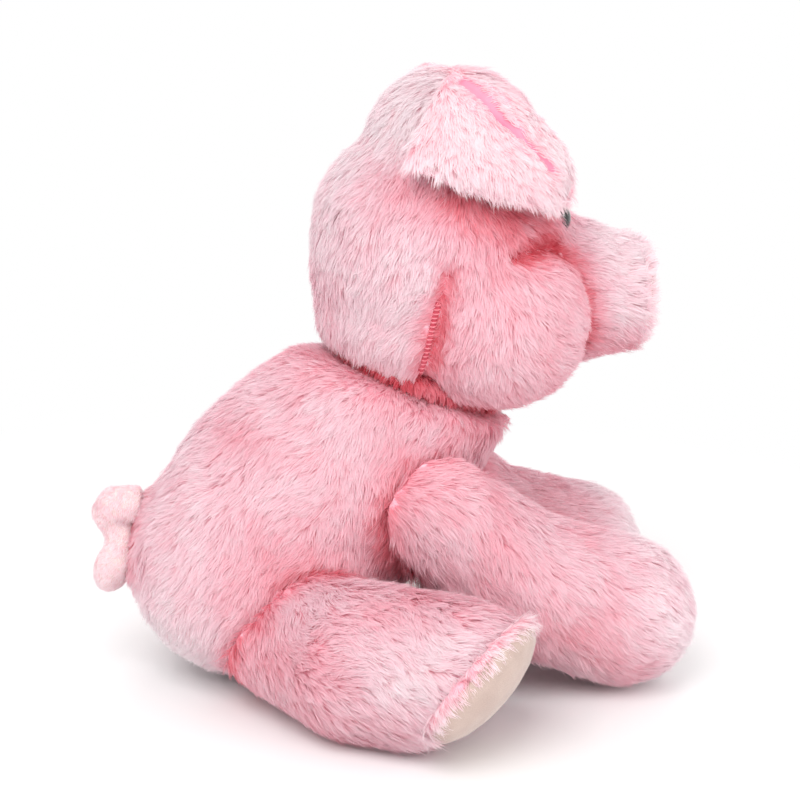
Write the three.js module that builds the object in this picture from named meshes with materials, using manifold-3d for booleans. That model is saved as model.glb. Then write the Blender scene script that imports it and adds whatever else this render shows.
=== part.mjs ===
// A sitting plush pig: long-pile skins over fibre filling, sewn at the neck, shoulders, hips, ears and tail.
// Millimetres, +Z up. The pig faces -Y, and the origin is the middle of the flat that it sits on.
import * as THREE from "three";
import { mergeVertices } from "three/addons/utils/BufferGeometryUtils.js";
import Module from "manifold-3d";

const wasm = await Module();
wasm.setup();

// Walls and clearances
const seamGap = 0.3;
const movingGap = 0.6;
const pressedDepth = 0.5;
const plushWall = 8;
const cutSize = 600;

// Facets
const formSides = 24;
const coreSides = 12;
const ballSides = 20;
const smallForm = 18;
const smallSides = 12;
const sidesOfPig = [[1, "left"], [-1, "right"]];
const stopStep = 9;

// Torso: a leaning bean from the rump to the neck
const torso = {
  rumpHalfHeight: 71,
  rumpHalfWidth: 76,
  waistHalfHeight: 79,
  waistHalfWidth: 76,
  chestHalfHeight: 70,
  chestHalfWidth: 68,
  neckHalfHeight: 58,
  neckHalfWidth: 58,
  neckCap: 48,
  length: 152,
  lean: 45,
};

// Neck: the plane where the head meets the torso, and the ball of packed fibre inside it
const neck = {
  forward: 99,
  height: 177,
  tilt: 21,
  ballRadius: 30,
  ballRoom: 0.9,
  nod: 6,
};

// Head: the skull form, the cheeks and the snout, placed by how far ahead of the neck and above it they are
const skull = {
  lowAhead: 8,
  lowRise: 37,
  highAhead: 23,
  highRise: 129,
  lowCap: 54,
  highCap: 48,
  napeHalfDepth: 70,
  napeHalfWidth: 70,
  lowHalfDepth: 76,
  lowHalfWidth: 79,
  midHalfDepth: 77,
  midHalfWidth: 79,
  highHalfDepth: 71,
  highHalfWidth: 72,
  crownHalfDepth: 53,
  crownHalfWidth: 59,
  crownBack: 2,
};
const cheek = {
  outward: 40,
  ahead: 39,
  rise: 39,
  halfWidth: 48,
  halfDepth: 53,
  halfHeight: 54,
};
const snout = {
  rootAhead: 69,
  rootRise: 47,
  frontAhead: 123,
  frontRise: 43,
  rootHalfHeight: 50,
  rootHalfWidth: 47,
  midHalfHeight: 44,
  midHalfWidth: 43,
  frontHalfHeight: 36,
  frontHalfWidth: 36,
  rimRound: 10,
  discDome: 6,
  discInset: 4,
  discHalfWidth: 32,
  discHalfHeight: 31,
};
const nostril = { outward: 11, halfWidth: 4.5, halfHeight: 6.5, thickness: 1.4 };
const backSeam = { ahead: 4, rise: 73, tilt: 9 };

// Eyes: a domed button on a ribbed shank, locked by a washer behind the face panel
const eye = {
  outward: 34,
  rise: 93,
  lookUp: 6,
  lookOut: 20,
  radius: 7,
  dome: 5,
  sink: 4,
  pocketLength: 21,
  pocketOverlap: 1,
  clothDepth: 7,
  shankRadius: 2.2,
  shankLength: 17,
  washerRadius: 9,
  washerThickness: 2,
};

// Ears: a curved flap that hangs forward from a slanting seam on the head
const ear = {
  lowAhead: -14,
  lowRise: 128,
  highOutward: 38,
  highAhead: 17,
  lowStand: 20,
  highStand: 9.7,
  length: 89,
  halfWidth: 35,
  bend: 56,
  crown: 7,
  pile: 11,
  lining: 3,
  wideShare: 0.1,
  taper: 1.7,
  fullness: 1.6,
  flare: 2,
  rootShare: 0.06,
  rings: 10,
  sides: 16,
  lift: 35,
  droop: 3,
};

// Front legs: from the side of the chest down to the paw
const frontLeg = {
  shoulderOutward: 48,
  shoulderForward: 98,
  shoulderHeight: 113,
  pawOutward: 54,
  pawForward: 204,
  rootRadius: 40,
  midRadius: 44,
  pawRadius: 47,
  pawCap: 50,
  sag: 13,
  raise: 25,
  lower: 8,
};

// Hind legs: splayed from the hips, with a slanting sole
const hindLeg = {
  hipOutward: 56,
  hipForward: 18,
  footOutward: 136,
  footForward: 98,
  rootRadius: 41,
  midHalfHeight: 47,
  midHalfWidth: 44,
  footRadius: 44,
  soleSplay: 36,
  soleDip: 34,
  soleAhead: 14,
  padBulge: 17,
  hipHeight: 42,
  padHalfWidth: 41,
  padHalfLength: 42,
  kneeOut: 12,
  swing: 14,
  press: 3,
  swingTilt: 40,
};

// Tail: a curl of smooth tube hanging from the back seam
const tail = {
  tubeRadius: 10,
  curlRadius: 4,
  pitch: 40,
  turns: 1.25,
  turnSteps: 8,
  rootHeight: 104,
  offset: 5,
  tipShare: 0.95,
  rings: 22,
  swing: 20,
};

const radians = THREE.MathUtils.degToRad;

// The joint angles at which a moving piece is cleared of its neighbour
function stopsOf(lowest, highest) {
  const count = Math.ceil((highest - lowest) / stopStep);
  return Array.from({ length: count + 1 }, (_, i) => lowest + ((highest - lowest) * i) / count);
}

function at(x, y, z) {
  return new THREE.Vector3(x, y, z);
}

// A smooth value through stations that are evenly spaced from share 0 to share 1
function smoothly(stations, share) {
  const curve = new THREE.SplineCurve(stations.map((size, i) => new THREE.Vector2(i, size)));
  return curve.getPoint(THREE.MathUtils.clamp(share, 0, 1)).y;
}

// A closed body through rings of points, with a pole at each end
function lofted(startPole, rings, endPole) {
  const positions = [startPole, ...rings.flat(), endPole].flatMap((point) => point.toArray());
  const sides = rings[0].length;
  const last = 1 + rings.length * sides;
  const index = [];
  for (let j = 0; j < sides; j += 1) {
    const next = (j + 1) % sides;
    index.push(0, 1 + next, 1 + j);
    index.push(last, last - sides + j, last - sides + next);
    for (let i = 0; i + 1 < rings.length; i += 1) {
      const low = 1 + i * sides;
      const high = low + sides;
      index.push(low + j, low + next, high + next, low + j, high + next, high + j);
    }
  }
  const geometry = new THREE.BufferGeometry();
  geometry.setAttribute("position", new THREE.Float32BufferAttribute(positions, 3));
  geometry.setIndex(index);
  return geometry;
}

// A filled form: it swells and tapers between two end centres and closes with a round cap at each
function filledForm(shape, inset = 0) {
  const { from, to, across, widths, heights, startCap, endCap, sides = formSides } = shape;
  const { drifts = [0, 0], middleRings = 4, capRings = 5 } = shape;
  const axis = to.clone().sub(from);
  const span = axis.length();
  axis.normalize();
  const side = across.clone().addScaledVector(axis, -across.dot(axis)).normalize();
  const rise = side.clone().cross(axis);
  const places = [];
  for (let i = 1; i <= capRings; i += 1) {
    const angle = (i / capRings) * (Math.PI / 2);
    places.push({ along: -(startCap - inset) * Math.cos(angle), fullness: Math.sin(angle) });
  }
  for (let i = 1; i < middleRings; i += 1) {
    places.push({ along: (span * i) / middleRings, fullness: 1 });
  }
  for (let i = capRings; i >= 1; i -= 1) {
    const angle = (i / capRings) * (Math.PI / 2);
    places.push({ along: span + (endCap - inset) * Math.cos(angle), fullness: Math.sin(angle) });
  }
  const centreAt = (along) =>
    from.clone().addScaledVector(axis, along).addScaledVector(rise, smoothly(drifts, along / span));
  const rings = places.map(({ along, fullness }) => {
    const halfWidth = (smoothly(widths, along / span) - inset) * fullness;
    const halfHeight = (smoothly(heights, along / span) - inset) * fullness;
    const centre = centreAt(along);
    return Array.from({ length: sides }, (_, j) => {
      const angle = (j / sides) * 2 * Math.PI;
      return centre
        .clone()
        .addScaledVector(side, Math.cos(angle) * halfWidth)
        .addScaledVector(rise, Math.sin(angle) * halfHeight);
    });
  });
  return lofted(centreAt(-(startCap - inset)), rings, centreAt(span + endCap - inset));
}

function ellipsoid(centre, halfWidth, halfDepth, halfHeight, sides = formSides) {
  const geometry = new THREE.SphereGeometry(1, sides, Math.round(sides / 2));
  geometry.rotateX(Math.PI / 2);
  geometry.scale(halfWidth, halfDepth, halfHeight);
  return geometry.translate(centre.x, centre.y, centre.z);
}

function ball(centre, radius, sides = formSides) {
  return ellipsoid(centre, radius, radius, radius, sides);
}

// A round pin along a direction, from a start point
function pin(start, direction, radius, length, sides = smallSides) {
  const geometry = new THREE.CylinderGeometry(radius, radius, length, sides);
  const turn = new THREE.Quaternion().setFromUnitVectors(at(0, 1, 0), direction);
  const middle = start.clone().addScaledVector(direction, length / 2);
  return geometry.applyQuaternion(turn).translate(middle.x, middle.y, middle.z);
}

// The solid with this surface, turned right side out where a mirrored shape comes inside out
function solidOf(geometry) {
  let bare = geometry.clone();
  bare.deleteAttribute("normal");
  bare.deleteAttribute("uv");
  bare = mergeVertices(bare, 1e-4);
  const points = bare.getAttribute("position");
  const triangles = Array.from(bare.index.array);
  const corner = (k) => new THREE.Vector3().fromBufferAttribute(points, triangles[k]);
  let volume = 0;
  for (let k = 0; k < triangles.length; k += 3) {
    volume += corner(k).dot(corner(k + 1).cross(corner(k + 2)));
  }
  if (volume < 0) {
    triangles.reverse();
  }
  const mesh = new wasm.Mesh({
    numProp: 3,
    vertProperties: Float32Array.from(points.array),
    triVerts: Uint32Array.from(triangles),
  });
  mesh.merge();
  return new wasm.Manifold(mesh);
}

// All that lies on the side of a plane that its normal points to
function beyond(point, normal) {
  const geometry = new THREE.BoxGeometry(cutSize, cutSize, cutSize);
  geometry.translate(0, 0, cutSize / 2);
  geometry.applyQuaternion(new THREE.Quaternion().setFromUnitVectors(at(0, 0, 1), normal));
  return solidOf(geometry.translate(point.x, point.y, point.z));
}

function together(...solids) {
  return solids.reduce((sum, solid) => sum.add(solid));
}

// The separate bodies of a solid, largest first
function bodiesOf(solid) {
  return solid.decompose().sort((a, b) => b.volume() - a.volume());
}

function pressedFlat(solid) {
  return solid.intersect(beyond(at(0, 0, 0), at(0, 0, 1)));
}

// Cut a piece by its neighbour in every place that the neighbour takes, as seen from the moving piece
function clearedOf(piece, neighbour, hinge) {
  let cleared = piece;
  for (const degrees of hinge.stops) {
    const geometry = neighbour.clone();
    geometry.translate(-hinge.pivot.x, -hinge.pivot.y, -hinge.pivot.z);
    geometry.applyQuaternion(new THREE.Quaternion().setFromAxisAngle(hinge.axis, radians(-degrees)));
    geometry.translate(hinge.pivot.x, hinge.pivot.y, hinge.pivot.z);
    cleared = cleared.subtract(solidOf(geometry));
  }
  return cleared;
}

const pinkPlush = { color: 0xf3bccb, roughness: 0.95, metalness: 0 };
const palePlush = { color: 0xfadde6, roughness: 0.95, metalness: 0 };
const creamVelour = { color: 0xf3e6dc, roughness: 0.85, metalness: 0 };
const pinkSatin = { color: 0xf79cc0, roughness: 0.5, metalness: 0 };
const filling = { color: 0xfafafa, roughness: 1, metalness: 0 };
const blackPlastic = { color: 0x14100f, roughness: 0.12, metalness: 0 };
const whitePlastic = { color: 0xe8e8e4, roughness: 0.5, metalness: 0 };
const pinkThread = { color: 0xe08aa4, roughness: 0.7, metalness: 0 };

const pig = new THREE.Group();

function addPiece(name, solid, finish) {
  const { vertProperties, numProp, triVerts } = solid.getMesh();
  const geometry = new THREE.BufferGeometry();
  const points = new Float32Array((vertProperties.length / numProp) * 3);
  for (let i = 0; i < points.length / 3; i += 1) {
    points.set(vertProperties.subarray(i * numProp, i * numProp + 3), i * 3);
  }
  geometry.setAttribute("position", new THREE.BufferAttribute(points, 3));
  geometry.setIndex(new THREE.BufferAttribute(Uint32Array.from(triVerts), 1));
  geometry.computeVertexNormals();
  const mesh = new THREE.Mesh(geometry, new THREE.MeshStandardMaterial(finish));
  mesh.name = name;
  pig.add(mesh);
}

// Torso form
const torsoAxis = at(0, -Math.cos(radians(torso.lean)), Math.sin(radians(torso.lean)));
const rumpCentre = at(0, 0, torso.rumpHalfHeight - pressedDepth);
const torsoShape = {
  from: rumpCentre,
  to: rumpCentre.clone().addScaledVector(torsoAxis, torso.length),
  across: at(1, 0, 0),
  widths: [torso.rumpHalfWidth, torso.waistHalfWidth, torso.chestHalfWidth, torso.neckHalfWidth],
  heights: [torso.rumpHalfHeight, torso.waistHalfHeight, torso.chestHalfHeight, torso.neckHalfHeight],
  startCap: torso.rumpHalfHeight,
  endCap: torso.neckCap,
  capRings: 6,
};
const torsoCore = { ...torsoShape, sides: coreSides, capRings: 4, middleRings: 3 };

// Neck plane, turning axis and the cone below it that leaves the head room to nod
const neckCentre = at(0, -neck.forward, neck.height);
const neckAxis = at(0, -Math.sin(radians(neck.tilt)), Math.cos(radians(neck.tilt)));
const aboveNeck = beyond(neckCentre.clone().addScaledVector(neckAxis, seamGap / 2), neckAxis);
const neckBall = (clearance) => solidOf(ball(neckCentre, neck.ballRadius + clearance, ballSides));

function nodCone() {
  const drop = cutSize * Math.tan(radians(neck.nod));
  const profile = [
    new THREE.Vector2(0, -seamGap / 2),
    new THREE.Vector2(cutSize, -seamGap / 2 - drop),
    new THREE.Vector2(cutSize, cutSize),
    new THREE.Vector2(0, cutSize),
  ];
  const geometry = new THREE.LatheGeometry(profile, formSides);
  geometry.applyQuaternion(new THREE.Quaternion().setFromUnitVectors(at(0, 1, 0), neckAxis));
  return solidOf(geometry.translate(neckCentre.x, neckCentre.y, neckCentre.z));
}

// A place on the head, from its distances to the middle of the neck
function headPlace(outward, ahead, rise) {
  return at(outward, -neck.forward - ahead, neck.height + rise);
}

function makeTorso() {
  const outer = pressedFlat(solidOf(filledForm(torsoShape))).subtract(nodCone());
  const cavity = solidOf(filledForm(torsoCore, plushWall));
  const skin = outer.subtract(cavity).subtract(neckBall(neck.ballRoom));
  const core = solidOf(filledForm(torsoCore, plushWall + seamGap));
  addPiece("torso_skin", skin, pinkPlush);
  addPiece("torso_filling", core.subtract(nodCone()).subtract(neckBall(neck.ballRoom)), filling);
  addPiece("neck_filling", neckBall(0), filling);
}

// Head forms, shared by the panels and the filling
const skullShape = {
  from: headPlace(0, skull.lowAhead, skull.lowRise),
  to: headPlace(0, skull.highAhead, skull.highRise),
  across: at(1, 0, 0),
  widths: [
    skull.napeHalfWidth,
    skull.lowHalfWidth,
    skull.midHalfWidth,
    skull.highHalfWidth,
    skull.crownHalfWidth,
  ],
  heights: [
    skull.napeHalfDepth,
    skull.lowHalfDepth,
    skull.midHalfDepth,
    skull.highHalfDepth,
    skull.crownHalfDepth,
  ],
  drifts: [0, 0, 0, -skull.crownBack, -skull.crownBack],
  startCap: skull.lowCap,
  endCap: skull.highCap,
  middleRings: 6,
  capRings: 5,
};
const skullCore = { ...skullShape, sides: coreSides, capRings: 3, middleRings: 4 };
const snoutShape = {
  from: headPlace(0, snout.rootAhead, snout.rootRise),
  to: headPlace(0, snout.frontAhead, snout.frontRise),
  across: at(1, 0, 0),
  widths: [snout.rootHalfWidth, snout.midHalfWidth, snout.frontHalfWidth],
  heights: [snout.rootHalfHeight, snout.midHalfHeight, snout.frontHalfHeight],
  startCap: snout.rimRound,
  endCap: snout.rimRound,
  middleRings: 5,
  capRings: 3,
  sides: 24,
};
const snoutCore = { ...snoutShape, sides: coreSides, middleRings: 3 };
const snoutAxis = snoutShape.to.clone().sub(snoutShape.from).normalize();
const discPlane = snoutShape.to.clone().addScaledVector(snoutAxis, snout.rimRound - snout.discInset);

function cheekForm(side, inset, sides) {
  const centre = headPlace(side * cheek.outward, cheek.ahead, cheek.rise);
  return solidOf(
    ellipsoid(centre, cheek.halfWidth - inset, cheek.halfDepth - inset, cheek.halfHeight - inset, sides)
  );
}

function headHollow(inset) {
  return together(
    solidOf(filledForm(skullCore, inset)),
    cheekForm(1, inset, coreSides),
    cheekForm(-1, inset, coreSides),
    solidOf(filledForm(snoutCore, inset))
  );
}

// Where a straight line from outside the head meets the skull
function skullPoint(start, direction) {
  const surface = new THREE.MeshBasicMaterial({ side: THREE.DoubleSide });
  const ray = new THREE.Raycaster(start, direction);
  const [{ point }] = ray.intersectObject(new THREE.Mesh(filledForm(skullShape), surface));
  return point;
}

// Where an eye sits: the point of the face at its place, and the way it looks
function eyePlace(side) {
  const gaze = at(0, -1, 0)
    .applyAxisAngle(at(1, 0, 0), radians(-eye.lookUp))
    .applyAxisAngle(at(0, 0, 1), side * radians(eye.lookOut));
  const point = skullPoint(headPlace(side * eye.outward, cutSize, eye.rise), at(0, 1, 0));
  return { gaze, seat: point.addScaledVector(gaze, -eye.sink) };
}

// The rooms that an eye and its washer take in the pieces around them
function eyeRooms(side) {
  const { gaze, seat } = eyePlace(side);
  const inward = gaze.clone().negate();
  const washerTop = seat.clone().addScaledVector(inward, eye.clothDepth);
  return {
    pocket: solidOf(pin(seat, gaze, eye.radius + seamGap, eye.pocketLength)),
    hole: solidOf(
      pin(
        seat.clone().addScaledVector(gaze, eye.pocketOverlap),
        inward,
        eye.shankRadius + seamGap,
        eye.shankLength + eye.pocketOverlap
      )
    ),
    washerRoom: solidOf(
      pin(
        washerTop.clone().addScaledVector(gaze, seamGap),
        inward,
        eye.washerRadius + seamGap,
        eye.washerThickness + 2 * seamGap
      )
    ),
    washerTop,
    gaze,
    inward,
    seat,
  };
}

function addEye(side, name, rooms) {
  const { gaze, inward, seat, washerTop, hole } = rooms;
  const domeGeometry = ellipsoid(at(0, 0, 0), eye.radius, eye.radius, eye.dome, smallSides);
  domeGeometry.applyQuaternion(new THREE.Quaternion().setFromUnitVectors(at(0, 0, 1), gaze));
  domeGeometry.translate(seat.x, seat.y, seat.z);
  const dome = solidOf(domeGeometry).intersect(beyond(seat.clone().addScaledVector(gaze, seamGap), gaze));
  const shankStart = seat.clone().addScaledVector(gaze, eye.dome / 2);
  const shank = solidOf(pin(shankStart, inward, eye.shankRadius, eye.shankLength));
  addPiece(`eye_${name}`, dome.add(shank), blackPlastic);
  const washer = solidOf(pin(washerTop, inward, eye.washerRadius, eye.washerThickness));
  addPiece(`eye_washer_${name}`, washer.subtract(hole), whitePlastic);
}

function makeHead() {
  const skullForm = solidOf(filledForm(skullShape));
  const cheeks = sidesOfPig.map(([side]) => cheekForm(side, 0, smallForm));
  const grownCheeks = sidesOfPig.map(([side]) => cheekForm(side, -seamGap, smallForm));
  const grownSleeve = solidOf(filledForm(snoutShape, -seamGap));
  const hollow = headHollow(plushWall);
  const opened = (solid) => solid.subtract(hollow).intersect(aboveNeck).subtract(neckBall(neck.ballRoom));
  const tilt = radians(backSeam.tilt);
  const seamNormal = at(0, Math.cos(tilt), Math.sin(tilt));
  const seamPoint = headPlace(0, backSeam.ahead, backSeam.rise);
  const behind = beyond(seamPoint.clone().addScaledVector(seamNormal, seamGap / 2), seamNormal);
  const aheadPoint = seamPoint.clone().addScaledVector(seamNormal, -seamGap / 2);
  const ahead = beyond(aheadPoint, seamNormal.clone().negate());
  addPiece("head_back_panel", opened(together(skullForm, ...cheeks).intersect(behind)), pinkPlush);

  let face = opened(skullForm.intersect(ahead).subtract(together(...grownCheeks, grownSleeve)));
  let fill = headHollow(plushWall + seamGap).intersect(aboveNeck).subtract(neckBall(neck.ballRoom));
  const eyeSpaces = sidesOfPig.map(([side, name]) => {
    const rooms = eyeRooms(side);
    const shankRooms = together(rooms.hole, rooms.washerRoom);
    fill = fill.subtract(shankRooms);
    addEye(side, name, rooms);
    return together(rooms.pocket, shankRooms);
  });
  const eyeSpace = together(...eyeSpaces);
  face = face.subtract(eyeSpace);
  const [forehead, chin] = bodiesOf(face);
  addPiece("forehead_panel", forehead, pinkPlush);
  addPiece("chin_panel", chin, pinkPlush);
  addPiece("head_filling", fill, filling);
  sidesOfPig.forEach(([side, name], i) => {
    const half = beyond(at((side * seamGap) / 2, 0, 0), at(side, 0, 0));
    const panel = cheeks[i].intersect(ahead).intersect(half).subtract(grownSleeve);
    addPiece(`cheek_${name}`, bodiesOf(opened(panel).subtract(eyeSpace))[0], pinkPlush);
  });
  const sleeve = solidOf(filledForm(snoutShape)).intersect(beyond(discPlane, snoutAxis.clone().negate()));
  addPiece("snout_sleeve", opened(sleeve), pinkPlush);
}

// The snout disc is a low dome, and each nostril is a patch of thread that follows it
function discDome(growth) {
  const geometry = ellipsoid(
    at(0, 0, 0),
    snout.discHalfWidth + growth,
    snout.discHalfHeight + growth,
    snout.discDome + growth,
    smallForm
  );
  geometry.applyQuaternion(new THREE.Quaternion().setFromUnitVectors(at(0, 0, 1), snoutAxis));
  return solidOf(geometry.translate(discPlane.x, discPlane.y, discPlane.z));
}

function makeSnoutFront() {
  const front = beyond(discPlane.clone().addScaledVector(snoutAxis, seamGap), snoutAxis);
  addPiece("snout_disc", discDome(0).intersect(front), creamVelour);
  const across = at(1, 0, 0);
  for (const [side, name] of sidesOfPig) {
    const start = discPlane.clone().addScaledVector(across, side * nostril.outward);
    const oval = new THREE.CylinderGeometry(1, 1, snout.discDome * 2, smallSides);
    oval.scale(nostril.halfWidth, 1, nostril.halfHeight);
    oval.applyQuaternion(new THREE.Quaternion().setFromUnitVectors(at(0, 1, 0), snoutAxis));
    oval.translate(start.x, start.y, start.z);
    const patch = solidOf(oval).intersect(discDome(seamGap + nostril.thickness)).intersect(front);
    addPiece(`nostril_${name}`, patch.subtract(discDome(seamGap)), pinkThread);
  }
}

// An ear hangs from a straight seam on the skull and bends forward over the temple
function earFrame(side) {
  const low = skullPoint(headPlace(side * cutSize, ear.lowAhead, ear.lowRise), at(-side, 0, 0));
  const high = skullPoint(headPlace(side * ear.highOutward, ear.highAhead, cutSize), at(0, 0, -1));
  low.x += side * ear.lowStand;
  high.z += ear.highStand;
  const across = high.clone().sub(low).normalize();
  const root = low.clone().add(high).multiplyScalar(1 / 2);
  const outward = root.clone().sub(headPlace(0, skull.highAhead, skull.highRise));
  outward.addScaledVector(across, -across.dot(outward)).normalize();
  const ahead = outward.clone().cross(across).multiplyScalar(side);
  return { root, across, outward, ahead, halfSeam: low.distanceTo(high) / 2 };
}

function earLayer(side, top, bottom) {
  const { root, across, outward, ahead, halfSeam } = earFrame(side);
  const bend = radians(ear.bend);
  const rings = [];
  const centres = [];
  for (let i = 0; i <= ear.rings; i += 1) {
    const share = (i / ear.rings) * (1 + ear.rootShare) - ear.rootShare;
    const angle = bend * share;
    const run = (ear.length * Math.sin(angle)) / bend;
    const fall = (ear.length * (1 - Math.cos(angle))) / bend;
    const centre = root.clone().addScaledVector(ahead, run).addScaledVector(outward, -fall);
    const normal = outward.clone().multiplyScalar(Math.cos(angle)).addScaledVector(ahead, Math.sin(angle));
    const beyondWide = Math.max(0, (share - ear.wideShare) / (1 - ear.wideShare));
    const roundness = Math.sqrt(Math.max(0, 1 - beyondWide ** ear.taper));
    const widening = THREE.MathUtils.lerp(halfSeam, ear.halfWidth, Math.min(1, Math.max(0, share) * ear.flare));
    const halfWidth = widening * roundness;
    const body = Math.min(1, roundness * ear.fullness);
    centres.push(centre.clone().addScaledVector(normal, ((top + bottom) / 2) * body));
    rings.push(
      Array.from({ length: ear.sides }, (_, j) => {
        const turn = (j / ear.sides) * 2 * Math.PI;
        const aside = Math.cos(turn) * halfWidth;
        const rim = Math.sqrt(Math.abs(Math.sin(turn)));
        const thick = (turn < Math.PI ? top : bottom) * rim * body;
        const middle = ((top + bottom) / 2) * (1 - rim) * body;
        const sag = ear.crown * (aside / ear.halfWidth) ** 2;
        return centre.clone().addScaledVector(across, aside).addScaledVector(normal, thick + middle - sag);
      })
    );
  }
  const tip = centres.pop();
  rings.pop();
  return solidOf(lofted(centres[0], rings, tip));
}

function makeEars() {
  for (const [side, name] of sidesOfPig) {
    const { root, across } = earFrame(side);
    const hinge = { pivot: root, axis: across.clone().multiplyScalar(side), stops: stopsOf(-ear.droop, ear.lift) };
    const skullRoom = filledForm(skullShape, -movingGap);
    const outer = earLayer(side, ear.pile, 0);
    const inner = earLayer(side, -seamGap, -seamGap - ear.lining);
    addPiece(`ear_${name}`, clearedOf(outer, skullRoom, hinge), palePlush);
    addPiece(`ear_lining_${name}`, bodiesOf(clearedOf(inner, skullRoom, hinge))[0], pinkSatin);
  }
}

// A leg's skin with its filling, both cut where the torso passes them as they turn
function addLeg(name, shape, hinge, end) {
  const core = { ...shape, sides: coreSides, capRings: 3, middleRings: 3 };
  const torsoRoom = filledForm(torsoShape, -movingGap);
  const skin = end(pressedFlat(solidOf(filledForm(shape))));
  const cleared = clearedOf(skin, torsoRoom, hinge);
  addPiece(`${name}_skin`, cleared.subtract(solidOf(filledForm(core, plushWall))), pinkPlush);
  const fill = end(solidOf(filledForm(core, plushWall + seamGap)));
  addPiece(`${name}_filling`, clearedOf(fill, torsoRoom, hinge), filling);
}

function makeFrontLegs() {
  for (const [side, name] of sidesOfPig) {
    const shoulder = at(side * frontLeg.shoulderOutward, -frontLeg.shoulderForward, frontLeg.shoulderHeight);
    const paw = at(side * frontLeg.pawOutward, -frontLeg.pawForward, frontLeg.pawRadius - pressedDepth);
    const sizes = [frontLeg.rootRadius, frontLeg.midRadius, frontLeg.pawRadius];
    const shape = {
      from: shoulder,
      to: paw,
      across: at(1, 0, 0),
      widths: sizes,
      heights: sizes,
      drifts: [0, frontLeg.sag, 0],
      startCap: frontLeg.rootRadius,
      endCap: frontLeg.pawCap,
      sides: smallForm,
    };
    const hinge = { pivot: shoulder, axis: at(-1, 0, 0), stops: stopsOf(-frontLeg.lower, frontLeg.raise) };
    addLeg(`front_leg_${name}`, shape, hinge, (solid) => solid);
  }
}

function makeHindLegs() {
  for (const [side, name] of sidesOfPig) {
    const hip = at(side * hindLeg.hipOutward, -hindLeg.hipForward, hindLeg.hipHeight);
    const foot = at(side * hindLeg.footOutward, -hindLeg.footForward, hindLeg.footRadius - pressedDepth);
    const { rootRadius, footRadius } = hindLeg;
    const shape = {
      from: hip,
      to: foot,
      across: at(0, 0, 1),
      widths: [rootRadius, hindLeg.midHalfHeight, footRadius],
      heights: [rootRadius, hindLeg.midHalfWidth, footRadius],
      drifts: [0, side * hindLeg.kneeOut, 0],
      startCap: rootRadius,
      endCap: footRadius,
      sides: smallForm,
    };
    const dip = radians(hindLeg.soleDip);
    const splay = radians(hindLeg.soleSplay);
    const facing = at(side * Math.sin(splay), -Math.cos(splay), 0).multiplyScalar(Math.cos(dip));
    facing.z = -Math.sin(dip);
    const sole = foot.clone().addScaledVector(foot.clone().sub(hip).normalize(), hindLeg.soleAhead);
    const tilt = radians(hindLeg.swingTilt);
    const axis = at(-Math.cos(tilt), 0, side * Math.sin(tilt));
    const hinge = { pivot: hip, axis, stops: stopsOf(-hindLeg.press, hindLeg.swing) };
    const behindSole = beyond(sole, facing.clone().negate());
    addLeg(`hind_leg_${name}`, shape, hinge, (solid) => solid.intersect(behindSole));
    const pad = ellipsoid(
      at(0, 0, 0),
      hindLeg.padHalfWidth,
      hindLeg.padHalfLength,
      hindLeg.padBulge,
      smallForm
    );
    pad.applyQuaternion(new THREE.Quaternion().setFromUnitVectors(at(0, 0, 1), facing));
    pad.translate(sole.x, sole.y, sole.z);
    const front = beyond(sole.clone().addScaledVector(facing, seamGap), facing);
    addPiece(`sole_${name}`, pressedFlat(solidOf(pad).intersect(front)), creamVelour);
  }
}

// The tail is a tube that leaves the back seam and curls down behind the rump
function tailCurve() {
  const top = torso.rumpHalfHeight + tail.offset;
  const points = [at(0, top - 2 * tail.tubeRadius, tail.rootHeight)];
  const steps = Math.round(tail.turns * tail.turnSteps);
  for (let i = 0; i <= steps; i += 1) {
    const turned = (i / tail.turnSteps) * 2 * Math.PI;
    const drop = (tail.pitch * i) / tail.turnSteps;
    points.push(
      at(Math.sin(turned) * tail.curlRadius, top + Math.cos(turned) * tail.curlRadius, tail.rootHeight - drop)
    );
  }
  return new THREE.CatmullRomCurve3(points);
}

function makeTail() {
  const curve = tailCurve();
  const count = tail.rings;
  const frames = curve.computeFrenetFrames(count);
  const rings = [];
  for (let i = 0; i <= count; i += 1) {
    const share = i / count;
    const reach = curve.getLength() * (1 - share);
    const tip = Math.min(1, reach / tail.tubeRadius);
    const radius = tail.tubeRadius * (1 - (1 - tail.tipShare) * share) * Math.sqrt(1 - (1 - tip) ** 2);
    const centre = curve.getPointAt(share);
    rings.push(
      Array.from({ length: smallSides }, (_, j) => {
        const angle = (j / smallSides) * 2 * Math.PI;
        return centre
          .clone()
          .addScaledVector(frames.normals[i], Math.cos(angle) * radius)
          .addScaledVector(frames.binormals[i], Math.sin(angle) * radius);
      })
    );
  }
  rings.pop();
  const solid = solidOf(lofted(curve.getPointAt(0), rings, curve.getPointAt(1)));
  const pivot = at(0, torso.rumpHalfHeight, tail.rootHeight);
  const hinge = { pivot, axis: at(1, 0, 0), stops: stopsOf(0, tail.swing) };
  addPiece("tail", clearedOf(solid, filledForm(torsoShape, -movingGap), hinge), creamVelour);
}

makeTorso();
makeHead();
makeSnoutFront();
makeEars();
makeFrontLegs();
makeHindLegs();
makeTail();

export default pig;
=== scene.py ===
"""A sitting plush pig: long pink pile over stuffed skins, cream velour soles, snout and tail.

Metres, +Z up. The pig faces -Y and sits on z = 0.
"""

import math

import bmesh
import bpy
import numpy as np
from mathutils import Euler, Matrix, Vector
from mathutils.bvhtree import BVHTree


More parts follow.
